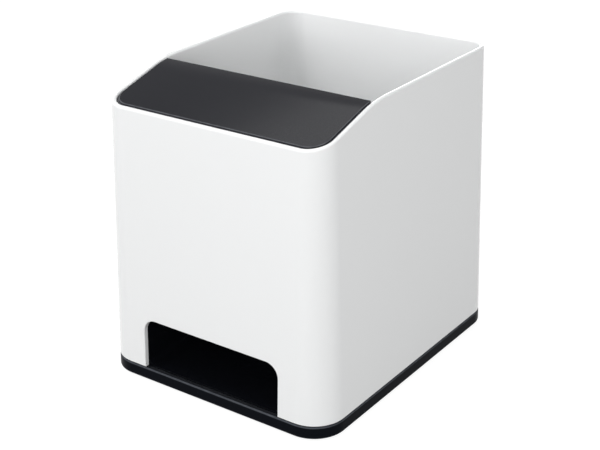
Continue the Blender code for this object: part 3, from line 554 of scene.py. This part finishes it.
def mouth_cutter():
    """The mouth's inside, which flares at the outer face so that the edge there is rounded."""

    def ring(depth, grow):
        half = MOUTH_WIDTH / 2
        radius = MOUTH_CORNER_RADIUS
        outline = [(-half - grow, PLATE_BOTTOM), (half + grow, PLATE_BOTTOM)]
        for side in (1, -1):
            for angle in quarter_turns(MOUTH_CORNER_STEPS)[::side]:
                x = side * (half - radius + (radius + grow) * math.cos(angle))
                outline.append((x, MOUTH_TOP - radius + (radius + grow) * math.sin(angle)))
        return [Vector((x, -half_depth(z, depth), z)) for x, z in outline]

    rings = [ring(-OVERRUN, MOUTH_EDGE_RADIUS)]
    for angle in quarter_turns(EDGE_STEPS):
        depth = MOUTH_EDGE_RADIUS * (1 - math.cos(angle))
        rings.append(ring(depth, MOUTH_EDGE_RADIUS * (1 - math.sin(angle))))
    rings.append(ring(MOUTH_DEPTH, 0))
    mesh = bmesh.new()
    add_skin(mesh, rings)
    return mesh


def guide_ribs():
    """The two upright ribs behind the divider, sunk into the side walls."""
    mesh = bmesh.new()
    for side in (-1, 1):
        rings = []
        for z in (GUIDE_LOW, GUIDE_HIGH):
            outer = side * half_width(z, SHELL_WALL - EMBED)
            inner = side * half_width(z, SHELL_WALL + GUIDE_PROUD)
            low, high = GUIDE_FRONT_Y, GUIDE_FRONT_Y + GUIDE_WIDTH
            corners = ((inner, low), (outer, low), (outer, high), (inner, high))
            rings.append([Vector((x, y, z)) for x, y in corners])
        add_skin(mesh, rings)
    return mesh


def make_shell(wall_tree, material):
    shares = [step / CHAMFER_STEPS for step in range(CHAMFER_STEPS + 1)]
    foot = [(SHELL_CHAMFER * (1 - share), SHELL_BOTTOM + SHELL_CHAMFER * share) for share in shares]
    inner_foot = [(SHELL_WALL - inset, height) for inset, height in reversed(foot)]
    rows = at_heights(foot)
    rows += below_rim(edge_up(RIM_EDGE_RADIUS, 0, 0) + edge_down(RIM_INNER_RADIUS, SHELL_WALL, 0))
    rows += at_heights(inner_foot)
    grid = wall_grid("shell_grid", whole_outline(), rows, closed=True)
    shell = plain_object("shell_block", grown("shell", grid, wall_tree, {"Material": material}))
    helpers = [
        cut_or_join(shell, "UNION", "shell_guides", guide_ribs()),
        cut_or_join(shell, "DIFFERENCE", "shell_mouth", mouth_cutter()),
    ]
    # Cutting leaves a few slivers where the mouth meets the wall's own lines.
    weld = shell.modifiers.new("weld", "WELD")
    weld.merge_threshold = WELD_REACH
    smooth_finish(shell)
    shell = applied(shell, "shell_body")
    for helper in helpers:
        bpy.data.objects.remove(helper)
    dress(shell, material, "white_shell", "outer_shell")


# Panel


def make_panel(wall_tree, material):
    """The cover with a thin bead along its top edge, inside a narrow groove."""
    edge_inset = SHELL_WALL + PANEL_GAP
    under = PANEL_RECESS + PANEL_THICKNESS
    groove = PANEL_RECESS + PANEL_GROOVE_DEPTH
    bead_inset = edge_inset + PANEL_GROOVE_WIDTH
    flange = [(edge_inset, under), (edge_inset, groove), (bead_inset, groove)]
    rows = below_rim(flange + edge_up(PANEL_BEAD_RADIUS, bead_inset, PANEL_RECESS))
    grid = wall_grid("panel_grid", front_outline(BEND_Y), rows, closed=False)
    panel = plain_object("panel_block", grown("panel", grid, wall_tree, {"Material": material}))
    smooth_finish(panel, PANEL_EDGE_WIDTH, PANEL_EDGE_ANGLE)
    dress(applied(panel, "panel_cover"), material, "anthracite_panel", "top_panel")


# Base plate


def corner_place(side, end, inset):
    """A place near one of the body's corners, the same distance in from both of its faces."""
    return side * (BODY_WIDTH / 2 - inset), end * (BODY_DEPTH / 2 - inset)


def make_base(wall_tree, material):
    """The plate with its raised edge, the recesses for its feet and the holes for its screws."""
    edge = edge_up(BASE_EDGE_RADIUS, 0, 0)
    rows = at_heights([(inset, PLATE_BOTTOM + drop) for inset, drop in reversed(edge)])
    rows += at_heights([(inset, PLATE_TOP - drop) for inset, drop in edge])
    rows += at_heights([(SEAT_WIDTH, PLATE_TOP), (SEAT_WIDTH, PLATE_FLOOR_TOP)])
    grid = wall_grid("base_grid", whole_outline(), rows, closed=False)
    base = plain_object("base_block", grown("base", grid, wall_tree, {"Material": material}))
    bores = bmesh.new()
    for side in (-1, 1):
        for end in (-1, 1):
            x, y = corner_place(side, end, FOOT_INSET)
            radius = FOOT_RADIUS + FIT_GAP
            add_skin(bores, [ring_points(x, y, z, radius) for z in (-OVERRUN, FOOT_RECESS_TOP)])
            x, y = corner_place(side, end, SCREW_INSET)
            wide, narrow = SCREW_HEAD_RADIUS + FIT_GAP, SCREW_SHANK_RADIUS + FIT_GAP
            profile = ((wide, -OVERRUN), (wide, SCREW_SEAT), (narrow, SCREW_SEAT), (narrow, PLATE_TOP))
            add_skin(bores, [ring_points(x, y, z, radius) for radius, z in profile])
    helper = cut_or_join(base, "DIFFERENCE", "base_bores", bores)
    smooth_finish(base)
    base = applied(base, "base_ring")
    bpy.data.objects.remove(helper)
    dress(base, material, "black_plastic", "base_plate")


# Feet and screws


def foot_profile():
    """Radii and heights of a foot: its grooved tread, its rounded lower edge and its top."""
    tread = []
    for start in GROOVE_RADII:
        inner, outer = start + GROOVE_FLANK, start + GROOVE_FLANK + GROOVE_WIDTH
        tread += [(start, 0), (inner, GROOVE_DEPTH), (outer, GROOVE_DEPTH), (outer + GROOVE_FLANK, 0)]
    edge = reversed(edge_up(FOOT_EDGE_RADIUS, 0, 0))
    rounding = [(FOOT_RADIUS - inset, drop) for inset, drop in edge]
    return tread + rounding + [(FOOT_RADIUS, FOOT_TOP)]


def foot_mesh():
    mesh = bmesh.new()
    add_skin(mesh, [ring_points(0, 0, z, radius) for radius, z in foot_profile()])
    return mesh_data("foot", mesh)


def screw_rows():
    """Rings of a screw that points up: its pan head from Z = 0, and its shank with one thread."""
    edge = SCREW_HEAD_HEIGHT * HEAD_EDGE_SHARE
    rings = [
        (SCREW_HEAD_RADIUS - edge, 0),
        (SCREW_HEAD_RADIUS - edge / 3, edge / 3),
        (SCREW_HEAD_RADIUS, edge),
        (SCREW_HEAD_RADIUS, SCREW_HEAD_HEIGHT),
    ]
    rows = [ring_points(0, 0, z, radius, SCREW_STEPS) for radius, z in rings]
    length = SCREW_TOP - SCREW_BOTTOM - SCREW_HEAD_HEIGHT
    turns = length / THREAD_PITCH
    count = int(turns * THREAD_TURN_STEPS)
    for row in range(count + 1):
        share = row / count
        z = SCREW_HEAD_HEIGHT + length * share
        taper = min(1, (1 - share) * length / POINT_LENGTH)
        width = POINT_WIDTH_SHARE + (1 - POINT_WIDTH_SHARE) * taper
        ring = []
        for step in range(SCREW_STEPS):
            phase = (share * turns - step / SCREW_STEPS) % 1
            # The ridge rises and falls over half of the pitch.
            ridge = max(0, 1 - abs(phase - 0.5) * 4)
            radius = (SCREW_SHANK_RADIUS - THREAD_HEIGHT + THREAD_HEIGHT * ridge) * width
            angle = math.tau * step / SCREW_STEPS
            ring.append(Vector((radius * math.cos(angle), radius * math.sin(angle), z)))
        rows.append(ring)
    return rows


def make_screw():
    """One base screw at the origin, with a cross cut into its head."""
    body = bmesh.new()
    add_skin(body, screw_rows())
    blank = plain_object("base_screw_blank", mesh_data("base_screw", body))
    long_arm, wide_arm = SCREW_HEAD_RADIUS * CROSS_LENGTH_SHARE, SCREW_HEAD_RADIUS * CROSS_WIDTH_SHARE
    depth = SCREW_HEAD_HEIGHT * CROSS_DEPTH_SHARE
    helpers = []
    for half_x, half_y in ((long_arm, wide_arm), (wide_arm, long_arm)):
        cross = bmesh.new()
        corners = ((-half_x, -half_y), (half_x, -half_y), (half_x, half_y), (-half_x, half_y))
        add_skin(cross, [[Vector((x, y, z)) for x, y in corners] for z in (-OVERRUN, depth)])
        helpers.append(cut_or_join(blank, "DIFFERENCE", "base_screw_cross", cross))
    smooth_finish(blank)
    blank.data.set_sharp_from_angle(angle=SMOOTH_ANGLE)
    screw = applied(blank, "base_screw_source")
    for helper in helpers:
        bpy.data.objects.remove(helper)
    return screw


def make_foot():
    """One rubber foot at the origin."""
    foot = plain_object("foot_blank", foot_mesh())
    smooth_finish(foot)
    foot.data.set_sharp_from_angle(angle=SMOOTH_ANGLE)
    return applied(foot, "foot_source")


def points_data(name, places):
    data = bpy.data.meshes.new(name)
    data.from_pydata(places, [], [])
    return data


def set_out(name, source, inset, z, tree, material, slot, nodes):
    """Copies a piece to the body's four corners. The copies stand for the nodes named."""
    places = [(*corner_place(side, end, inset), z) for end in (-1, 1) for side in (-1, 1)]
    values = {"Piece": source, "Material": material, "Turn": math.tau, "Seed": COPIES_SEED}
    data = grown(name, points_data(name, places), tree, values)
    bpy.data.objects.remove(source)
    return dress(plain_object(name, data), material, slot, *nodes)


def make_small_parts(tree, rubber, steel):
    nodes = [f"foot_{number}" for number in range(1, 5)]
    set_out("feet", make_foot(), FOOT_INSET, 0, tree, rubber, "rubber", nodes)
    nodes = [f"base_screw_{number}" for number in range(1, 5)]
    set_out("base_screws", make_screw(), SCREW_INSET, SCREW_BOTTOM, tree, steel, "screw_steel", nodes)


# Materials

# Wear and painted edge highlight: how soon a rounded edge gets the mark, and how much of the mark shows
# everywhere
WEAR_AND_HIGHLIGHT_GAIN = 6.0
WEAR_AND_HIGHLIGHT_EVEN_SHARE = 0.3

# Dust: its colour, how much of the noise stays clean, and how sharply it keeps to level faces
DUST_COLOUR = (0.56, 0.56, 0.555, 1)
DUST_CLEAN_SHARE = 0.52
DUST_LEVEL_POWER = 3.0


def grain_group():
    """Fine moulded grain: a height, a roughness that wanders, and a faint change of tone."""
    inputs = [
        ("Vector", "NodeSocketVector", (0, 0, 0)),
        ("Stretch", "NodeSocketVector", (1, 1, 1)),
        ("Fine Scale", FLOAT, 2500.0),
        ("Broad Scale", FLOAT, 60.0),
        ("Roughness", FLOAT, 0.3),
        ("Roughness Spread", FLOAT, 0.06),
        ("Tone Spread", FLOAT, 0.03),
    ]
    outputs = [("Height", FLOAT), ("Roughness", FLOAT), ("Tone", FLOAT)]
    tree, size, out = new_group("moulded_grain", "ShaderNodeTree", inputs, outputs)
    stretched = add_node(
        tree, "ShaderNodeVectorMath", {0: size["Vector"], 1: size["Stretch"]}, operation="MULTIPLY"
    ).outputs[0]
    fine_inputs = {"Vector": stretched, "Scale": size["Fine Scale"], "Detail": 3.0, "Roughness": 0.55}
    fine = add_node(tree, "ShaderNodeTexNoise", fine_inputs).outputs[0]
    broad_inputs = {"Vector": size["Vector"], "Scale": size["Broad Scale"], "Detail": 3.0}
    broad = add_node(tree, "ShaderNodeTexNoise", broad_inputs).outputs[0]
    tree.links.new(fine, out["Height"])
    centred = maths(tree, "SUBTRACT", broad, 0.5)
    wander = maths(tree, "MULTIPLY", centred, maths(tree, "MULTIPLY", size["Roughness Spread"], 2))
    fleck = maths(tree, "MULTIPLY", maths(tree, "SUBTRACT", fine, 0.5), size["Roughness Spread"])
    rough = maths(tree, "ADD", maths(tree, "ADD", size["Roughness"], wander), fleck, clamp=True)
    tree.links.new(rough, out["Roughness"])
    tone = maths(tree, "MULTIPLY_ADD", centred, size["Tone Spread"], 1.0)
    tree.links.new(tone, out["Tone"])
    return tree


def wear_and_highlight_group():
    """Handling wear and a painted highlight on edges: a mask that is 1 on small rounded edges, broken up
    by noise.
    """
    inputs = [
        ("Vector", "NodeSocketVector", (0, 0, 0)),
        ("Reach", FLOAT, 0.0006),
        ("Amount", FLOAT, 1.0),
        ("Breakup Scale", FLOAT, 400.0),
    ]
    tree, size, out = new_group("edge_wear_and_highlight", "ShaderNodeTree", inputs, [("Mask", FLOAT)])
    rounded = add_node(tree, "ShaderNodeBevel", {"Radius": size["Reach"]}, samples=4).outputs[0]
    true_normal = add_node(tree, "ShaderNodeNewGeometry").outputs["Normal"]
    alike = add_node(tree, "ShaderNodeVectorMath", {0: rounded, 1: true_normal}, operation="DOT_PRODUCT")
    bent = maths(tree, "SUBTRACT", 1.0, alike.outputs["Value"])
    noise_inputs = {"Vector": size["Vector"], "Scale": size["Breakup Scale"], "Detail": 4.0}
    noise = add_node(tree, "ShaderNodeTexNoise", noise_inputs).outputs[0]
    # Rows marked as crests get the mask in full, which paints a highlight along those rounded edges.
    crest = add_node(tree, "ShaderNodeAttribute", attribute_name="crest").outputs["Fac"]
    edge = maths(tree, "MAXIMUM", maths(tree, "MULTIPLY", bent, WEAR_AND_HIGHLIGHT_GAIN), crest)
    broken = maths(tree, "MULTIPLY", edge, maths(tree, "ADD", noise, WEAR_AND_HIGHLIGHT_EVEN_SHARE))
    mask = maths(tree, "MULTIPLY", broken, size["Amount"], clamp=True)
    tree.links.new(mask, out["Mask"])
    return tree


def dust_group():
    """Faint dust that settles on faces that look up."""
    inputs = [("Vector", "NodeSocketVector", (0, 0, 0)), ("Amount", FLOAT, 0.05), ("Scale", FLOAT, 900.0)]
    tree, size, out = new_group("settled_dust", "ShaderNodeTree", inputs, [("Mask", FLOAT)])
    normal = add_node(tree, "ShaderNodeNewGeometry").outputs["Normal"]
    up = add_node(tree, "ShaderNodeSeparateXYZ", {0: normal}).outputs["Z"]
    upward = maths(tree, "POWER", maths(tree, "MAXIMUM", up, 0.0), DUST_LEVEL_POWER)
    noise_inputs = {"Vector": size["Vector"], "Scale": size["Scale"], "Detail": 5.0, "Roughness": 0.7}
    noise = add_node(tree, "ShaderNodeTexNoise", noise_inputs).outputs[0]
    specks = maths(tree, "SUBTRACT", noise, DUST_CLEAN_SHARE, clamp=True)
    mask = maths(tree, "MULTIPLY", maths(tree, "MULTIPLY", specks, upward), size["Amount"], clamp=True)
    tree.links.new(mask, out["Mask"])
    return tree


def place_group(tree, group, inputs):
    return add_node(tree, "ShaderNodeGroup", inputs, node_tree=group).outputs


def mixed_colour(tree, share, first, second):
    """Mixes two colours. The node's sockets 6, 7 and 2 are those for colours."""
    return add_node(tree, "ShaderNodeMix", {0: share, 6: first, 7: second}, data_type="RGBA").outputs[2]


def make_finish(groups, name, look):
    """A material from its look: colours, gloss, and the grain, wear with painted edge highlights, and
    dust that vary over it.
    """
    material = bpy.data.materials.new(name)
    material.use_nodes = True
    tree = material.node_tree
    shader = tree.nodes["Principled BSDF"]
    for socket, value in look["sockets"].items():
        shader.inputs[socket].default_value = value
    where = add_node(tree, "ShaderNodeTexCoord").outputs["Object"]
    grain = place_group(tree, groups["grain"], {"Vector": where, **look["grain"]})
    wear_and_highlight = place_group(tree, groups["wear_and_highlight"], {"Vector": where, **look["wear_and_highlight"]})
    dust = place_group(tree, groups["dust"], {"Vector": where, "Amount": look["dust"]})
    base = add_node(
        tree, "ShaderNodeVectorMath", {0: look["colour"], "Scale": grain["Tone"]}, operation="SCALE"
    ).outputs[0]
    # The worn colour on the mask is a painted highlight along rounded edges on the white, anthracite and
    # black gloss finishes, and handling wear on the others.
    worn_and_highlight = mixed_colour(tree, wear_and_highlight["Mask"], base, (*look["worn_and_highlight"], 1))
    dusty = mixed_colour(tree, dust["Mask"], worn_and_highlight, DUST_COLOUR)
    tree.links.new(dusty, shader.inputs["Base Color"])
    rough = maths(tree, "MULTIPLY_ADD", wear_and_highlight["Mask"], look["worn_and_highlight_roughness"], grain["Roughness"])
    rough = maths(tree, "ADD", rough, dust["Mask"], clamp=True)
    tree.links.new(rough, shader.inputs["Roughness"])
    bump = {"Height": grain["Height"], "Strength": look["bump"], "Distance": look["bump_distance"]}
    tree.links.new(add_node(tree, "ShaderNodeBump", bump).outputs[0], shader.inputs["Normal"])
    return material


LOOKS = {
    "white_gloss_plastic": {
        "colour": (0.845, 0.853, 0.855),
        # The lighter worn colour paints a highlight along the rim's rounded edges.
        "worn_and_highlight": (0.88, 0.888, 0.89),
        "worn_and_highlight_roughness": 0.05,
        "sockets": {"IOR": 1.5, "Specular IOR Level": 0.5},
        "grain": {"Fine Scale": 500.0, "Broad Scale": 35.0, "Roughness": 0.16, "Roughness Spread": 0.02,
                  "Tone Spread": 0.012},
        "wear_and_highlight": {"Reach": 0.0005, "Amount": 0.3},
        "dust": 0.05,
        "bump": 0.02,
        "bump_distance": 0.0002,
    },
    "anthracite_satin_plastic": {
        "colour": (0.006, 0.0065, 0.0105),
        # The far lighter worn colour paints a thin highlight line along the panel's beaded edge.
        "worn_and_highlight": (0.12, 0.125, 0.135),
        "worn_and_highlight_roughness": -0.05,
        "sockets": {"IOR": 1.5, "Specular IOR Level": 0.08},
        "grain": {"Fine Scale": 3600.0, "Broad Scale": 45.0, "Roughness": 0.15, "Roughness Spread": 0.02,
                  "Tone Spread": 0.06},
        "wear_and_highlight": {"Reach": 0.0005, "Amount": 0.8},
        "dust": 0.015,
        "bump": 0.015,
        "bump_distance": 0.0002,
    },
    "black_gloss_plastic": {
        "colour": (0.004, 0.0048, 0.007),
        # The far lighter worn colour paints a highlight line along the plate's rounded edges.
        "worn_and_highlight": (0.11, 0.118, 0.135),
        "worn_and_highlight_roughness": 0.05,
        "sockets": {"IOR": 1.5, "Specular IOR Level": 0.015},
        "grain": {"Fine Scale": 900.0, "Broad Scale": 50.0, "Roughness": 0.3, "Roughness Spread": 0.08,
                  "Tone Spread": 0.2, "Stretch": (0.12, 0.12, 3.0)},
        "wear_and_highlight": {"Reach": 0.0005, "Amount": 0.7},
        "dust": 0.04,
        "bump": 0.12,
        "bump_distance": 0.0002,
    },
    "black_satin_plastic": {
        "colour": (0.005, 0.0056, 0.0068),
        "worn_and_highlight": (0.03, 0.032, 0.036),
        "worn_and_highlight_roughness": 0.0,
        "sockets": {"IOR": 1.5, "Specular IOR Level": 0.05},
        "grain": {"Fine Scale": 3000.0, "Broad Scale": 60.0, "Roughness": 0.42, "Roughness Spread": 0.08,
                  "Tone Spread": 0.15},
        "wear_and_highlight": {"Reach": 0.0004, "Amount": 0.4},
        "dust": 0.08,
        "bump": 0.12,
        "bump_distance": 0.0002,
    },
    "black_horn_plastic": {
        "colour": (0.003, 0.0035, 0.005),
        "worn_and_highlight": (0.02, 0.021, 0.024),
        "worn_and_highlight_roughness": 0.0,
        "sockets": {"IOR": 1.5, "Specular IOR Level": 0.5},
        "grain": {"Fine Scale": 1500.0, "Broad Scale": 60.0, "Roughness": 0.16, "Roughness Spread": 0.04,
                  "Tone Spread": 0.15},
        "wear_and_highlight": {"Reach": 0.0004, "Amount": 0.3},
        "dust": 0.03,
        "bump": 0.03,
        "bump_distance": 0.0002,
    },
    "black_rubber": {
        "colour": (0.018, 0.018, 0.019),
        "worn_and_highlight": (0.07, 0.07, 0.07),
        "worn_and_highlight_roughness": -0.1,
        "sockets": {"IOR": 1.5, "Specular IOR Level": 0.3},
        "grain": {"Fine Scale": 2200.0, "Broad Scale": 120.0, "Roughness": 0.78, "Roughness Spread": 0.1,
                  "Tone Spread": 0.3},
        "wear_and_highlight": {"Reach": 0.0004, "Amount": 0.6},
        "dust": 0.10,
        "bump": 0.35,
        "bump_distance": 0.0002,
    },
    "zinc_plated_steel": {
        "colour": (0.62, 0.62, 0.60),
        "worn_and_highlight": (0.78, 0.78, 0.76),
        "worn_and_highlight_roughness": -0.08,
        "sockets": {"Metallic": 1.0},
        "grain": {"Fine Scale": 1800.0, "Broad Scale": 300.0, "Roughness": 0.32, "Roughness Spread": 0.12,
                  "Tone Spread": 0.15},
        "wear_and_highlight": {"Reach": 0.0003, "Amount": 0.8},
        "dust": 0.0,
        "bump": 0.2,
        "bump_distance": 0.0001,
    },
}


def make_finishes():
    groups = {"grain": grain_group(), "wear_and_highlight": wear_and_highlight_group(), "dust": dust_group()}
    return {name: make_finish(groups, name, look) for name, look in LOOKS.items()}


def repaint(node, material):
    """Gives a solid that stays as it is its finish."""
    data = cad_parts[node].data
    data.materials.clear()
    data.materials.append(material)


# Studio

# The photograph's view, fitted to the body's straight edges. Its turns are in degrees, and its lens and
# sensor in millimetres.
CAMERA_AZIMUTH = 35.441
CAMERA_ELEVATION = 23.812
CAMERA_ROLL = -0.337
CAMERA_PLACE = (0.22657, -0.32098, 0.21693)
CAMERA_LENS = 76.36
CAMERA_SENSOR = 36.0
CAMERA_RANGE = (0.01, 20.0)


def add_camera():
    """Sets up the lens at its place, looking back along its azimuth and elevation, with its roll."""
    azimuth = math.radians(CAMERA_AZIMUTH)
    elevation = math.radians(CAMERA_ELEVATION)
    roll = math.radians(CAMERA_ROLL)
    level_back = Vector((math.sin(azimuth), -math.cos(azimuth), 0))
    across = Vector((math.cos(azimuth), math.sin(azimuth), 0))
    back = level_back * math.cos(elevation) + Vector((0, 0, math.sin(elevation)))
    up = back.cross(across)
    right = math.cos(roll) * across + math.sin(roll) * up
    upright = -math.sin(roll) * across + math.cos(roll) * up
    data = bpy.data.cameras.new("camera")
    data.sensor_width = CAMERA_SENSOR
    data.lens = CAMERA_LENS
    data.clip_start, data.clip_end = CAMERA_RANGE
    camera = plain_object("camera", data)
    turn = Matrix((right, upright, back)).transposed()
    camera.matrix_world = Matrix.Translation(CAMERA_PLACE) @ turn.to_4x4()
    bpy.context.scene.camera = camera


LAMP_TARGET = (0, 0, 0.05)
LAMPS = {
    # name: (direction from the target, distance, width, height, watts)
    "key_left_front": ((-0.75, -1.0, 0.75), 1.1, 0.9, 0.9, 3.3),
    "front": ((0.2, -1.0, 0.35), 1.2, 0.8, 0.8, 5.3),
    "right": ((1.0, -0.3, 0.08), 1.2, 0.8, 0.3, 2.5),
    "back_right": ((0.9, 0.8, 0.9), 1.2, 0.8, 0.8, 1.2),
    "back": ((-0.5, 1.0, 0.16), 1.2, 0.8, 0.45, 5.0),
    "left": ((-1.0, 0.1, 0.25), 1.2, 0.8, 0.8, 2.2),
    "near_left_front": ((-0.15, -0.15, 0.4), 0.453, 0.15, 0.15, 0.5),
    "near_corner": ((0.25, -0.3, 0.15), 0.42, 0.1, 0.2, 0.2),
    "near_right": ((0.3, -0.05, 0.2), 0.364, 0.15, 0.15, 0.08),
    "near_back": ((0.15, 0.3, 0.4), 0.522, 0.15, 0.15, 0.08),
    "panel_sheen": ((-0.442, 0.341, 0.829), 0.5, 0.2, 0.12, 0.18),
}


def add_lamps():
    """Soft boxes round the object, each turned to face the target."""
    target = Vector(LAMP_TARGET)
    for name, (direction, distance, width, height, watts) in LAMPS.items():
        data = bpy.data.lights.new(name, "AREA")
        data.shape = "RECTANGLE"
        data.size = width
        data.size_y = height
        data.energy = watts
        lamp = plain_object(name, data)
        away = Vector(direction).normalized()
        turn = away.to_track_quat("Z", "Y").to_matrix().to_4x4()
        lamp.matrix_world = Matrix.Translation(target + away * distance) @ turn


# Strength of the room light, and the floor's reach, tone and glow
ROOM_LIGHT = 0.3
FLOOR_REACH = 1.0
FLOOR_TONE = 0.28
FLOOR_TONE_SPREAD = 0.01
FLOOR_GRAIN_SCALE = 30.0
FLOOR_ROUGHNESS = 0.9
FLOOR_GLOW = 0.86


def seen_as_background(tree):
    """1 for the rays that show the background: straight, mirrored or through a clear piece."""
    path = add_node(tree, "ShaderNodeLightPath").outputs
    straight = maths(tree, "MAXIMUM", path["Is Camera Ray"], path["Is Transmission Ray"])
    return maths(tree, "MAXIMUM", straight, path["Is Glossy Ray"])


def add_world():
    """Soft even room light. The camera, mirrored rays and clear pieces see plain white."""
    world = bpy.data.worlds.new("room")
    bpy.context.scene.world = world
    world.use_nodes = True
    tree = world.node_tree
    tree.nodes.clear()
    light = add_node(tree, "ShaderNodeBackground", {"Color": (1, 1, 1, 1), "Strength": ROOM_LIGHT})
    white = add_node(tree, "ShaderNodeBackground", {"Color": (1, 1, 1, 1), "Strength": 1.0})
    seen = seen_as_background(tree)
    mix = add_node(tree, "ShaderNodeMixShader", {0: seen, 1: light.outputs[0], 2: white.outputs[0]})
    add_node(tree, "ShaderNodeOutputWorld", {"Surface": mix.outputs[0]})


def add_floor():
    """Pale floor as far as the lamps reach. It keeps the object's soft shadow."""
    mesh = bmesh.new()
    corners = ((-1, -1), (1, -1), (1, 1), (-1, 1))
    mesh.faces.new([mesh.verts.new((x * FLOOR_REACH, y * FLOOR_REACH, 0)) for x, y in corners])
    floor = plain_object("floor", mesh_data("floor", mesh))
    material = bpy.data.materials.new("pale_floor")
    material.use_nodes = True
    tree = material.node_tree
    shader = tree.nodes["Principled BSDF"]
    shader.inputs["Roughness"].default_value = FLOOR_ROUGHNESS
    shader.inputs["Specular IOR Level"].default_value = 0.0
    where = add_node(tree, "ShaderNodeTexCoord").outputs["Object"]
    noise = add_node(tree, "ShaderNodeTexNoise", {"Vector": where, "Scale": FLOOR_GRAIN_SCALE}).outputs[0]
    tone = maths(tree, "MULTIPLY_ADD", noise, FLOOR_TONE_SPREAD, FLOOR_TONE)
    tree.links.new(tone, shader.inputs["Base Color"])
    glow = add_node(tree, "ShaderNodeEmission", {"Color": (1, 1, 1, 1), "Strength": FLOOR_GLOW})
    seen = seen_as_background(tree)
    dark = add_node(tree, "ShaderNodeEmission", {"Strength": 0.0})
    lift = add_node(tree, "ShaderNodeMixShader", {0: seen, 1: dark.outputs[0], 2: glow.outputs[0]})
    both = add_node(tree, "ShaderNodeAddShader", {0: shader.outputs[0], 1: lift.outputs[0]})
    tree.links.new(both.outputs[0], tree.nodes["Material Output"].inputs["Surface"])
    floor.data.materials.append(material)


def main():
    add_camera()
    add_lamps()
    add_world()
    add_floor()
    finishes = make_finishes()
    white = finishes["white_gloss_plastic"]
    satin = finishes["black_satin_plastic"]
    wall_tree = moulded_wall_tree(rim_height_group())
    copies_tree = set_out_tree()
    make_shell(wall_tree, white)
    make_panel(wall_tree, finishes["anthracite_satin_plastic"])
    make_base(wall_tree, finishes["black_gloss_plastic"])
    make_small_parts(copies_tree, finishes["black_rubber"], finishes["zinc_plated_steel"])
    softened("divider_wall", "divider", SOFT_EDGE_WIDTH, white, "white_shell")
    softened("pen_floor", "compartment_floor", SOFT_EDGE_WIDTH, white, "white_shell")
    softened("phone_cradle", "cradle", CRADLE_EDGE_WIDTH, satin, "black_plastic")
    softened("throat_gasket", "gasket", SOFT_EDGE_WIDTH, finishes["black_rubber"], "rubber")
    for node in ("horn_lower", "horn_upper"):
        repaint(node, finishes["black_horn_plastic"])
    for node in ("horn_screw_left", "horn_screw_right"):
        repaint(node, finishes["zinc_plated_steel"])
    bpy.context.scene.view_settings.view_transform = "Standard"


main()
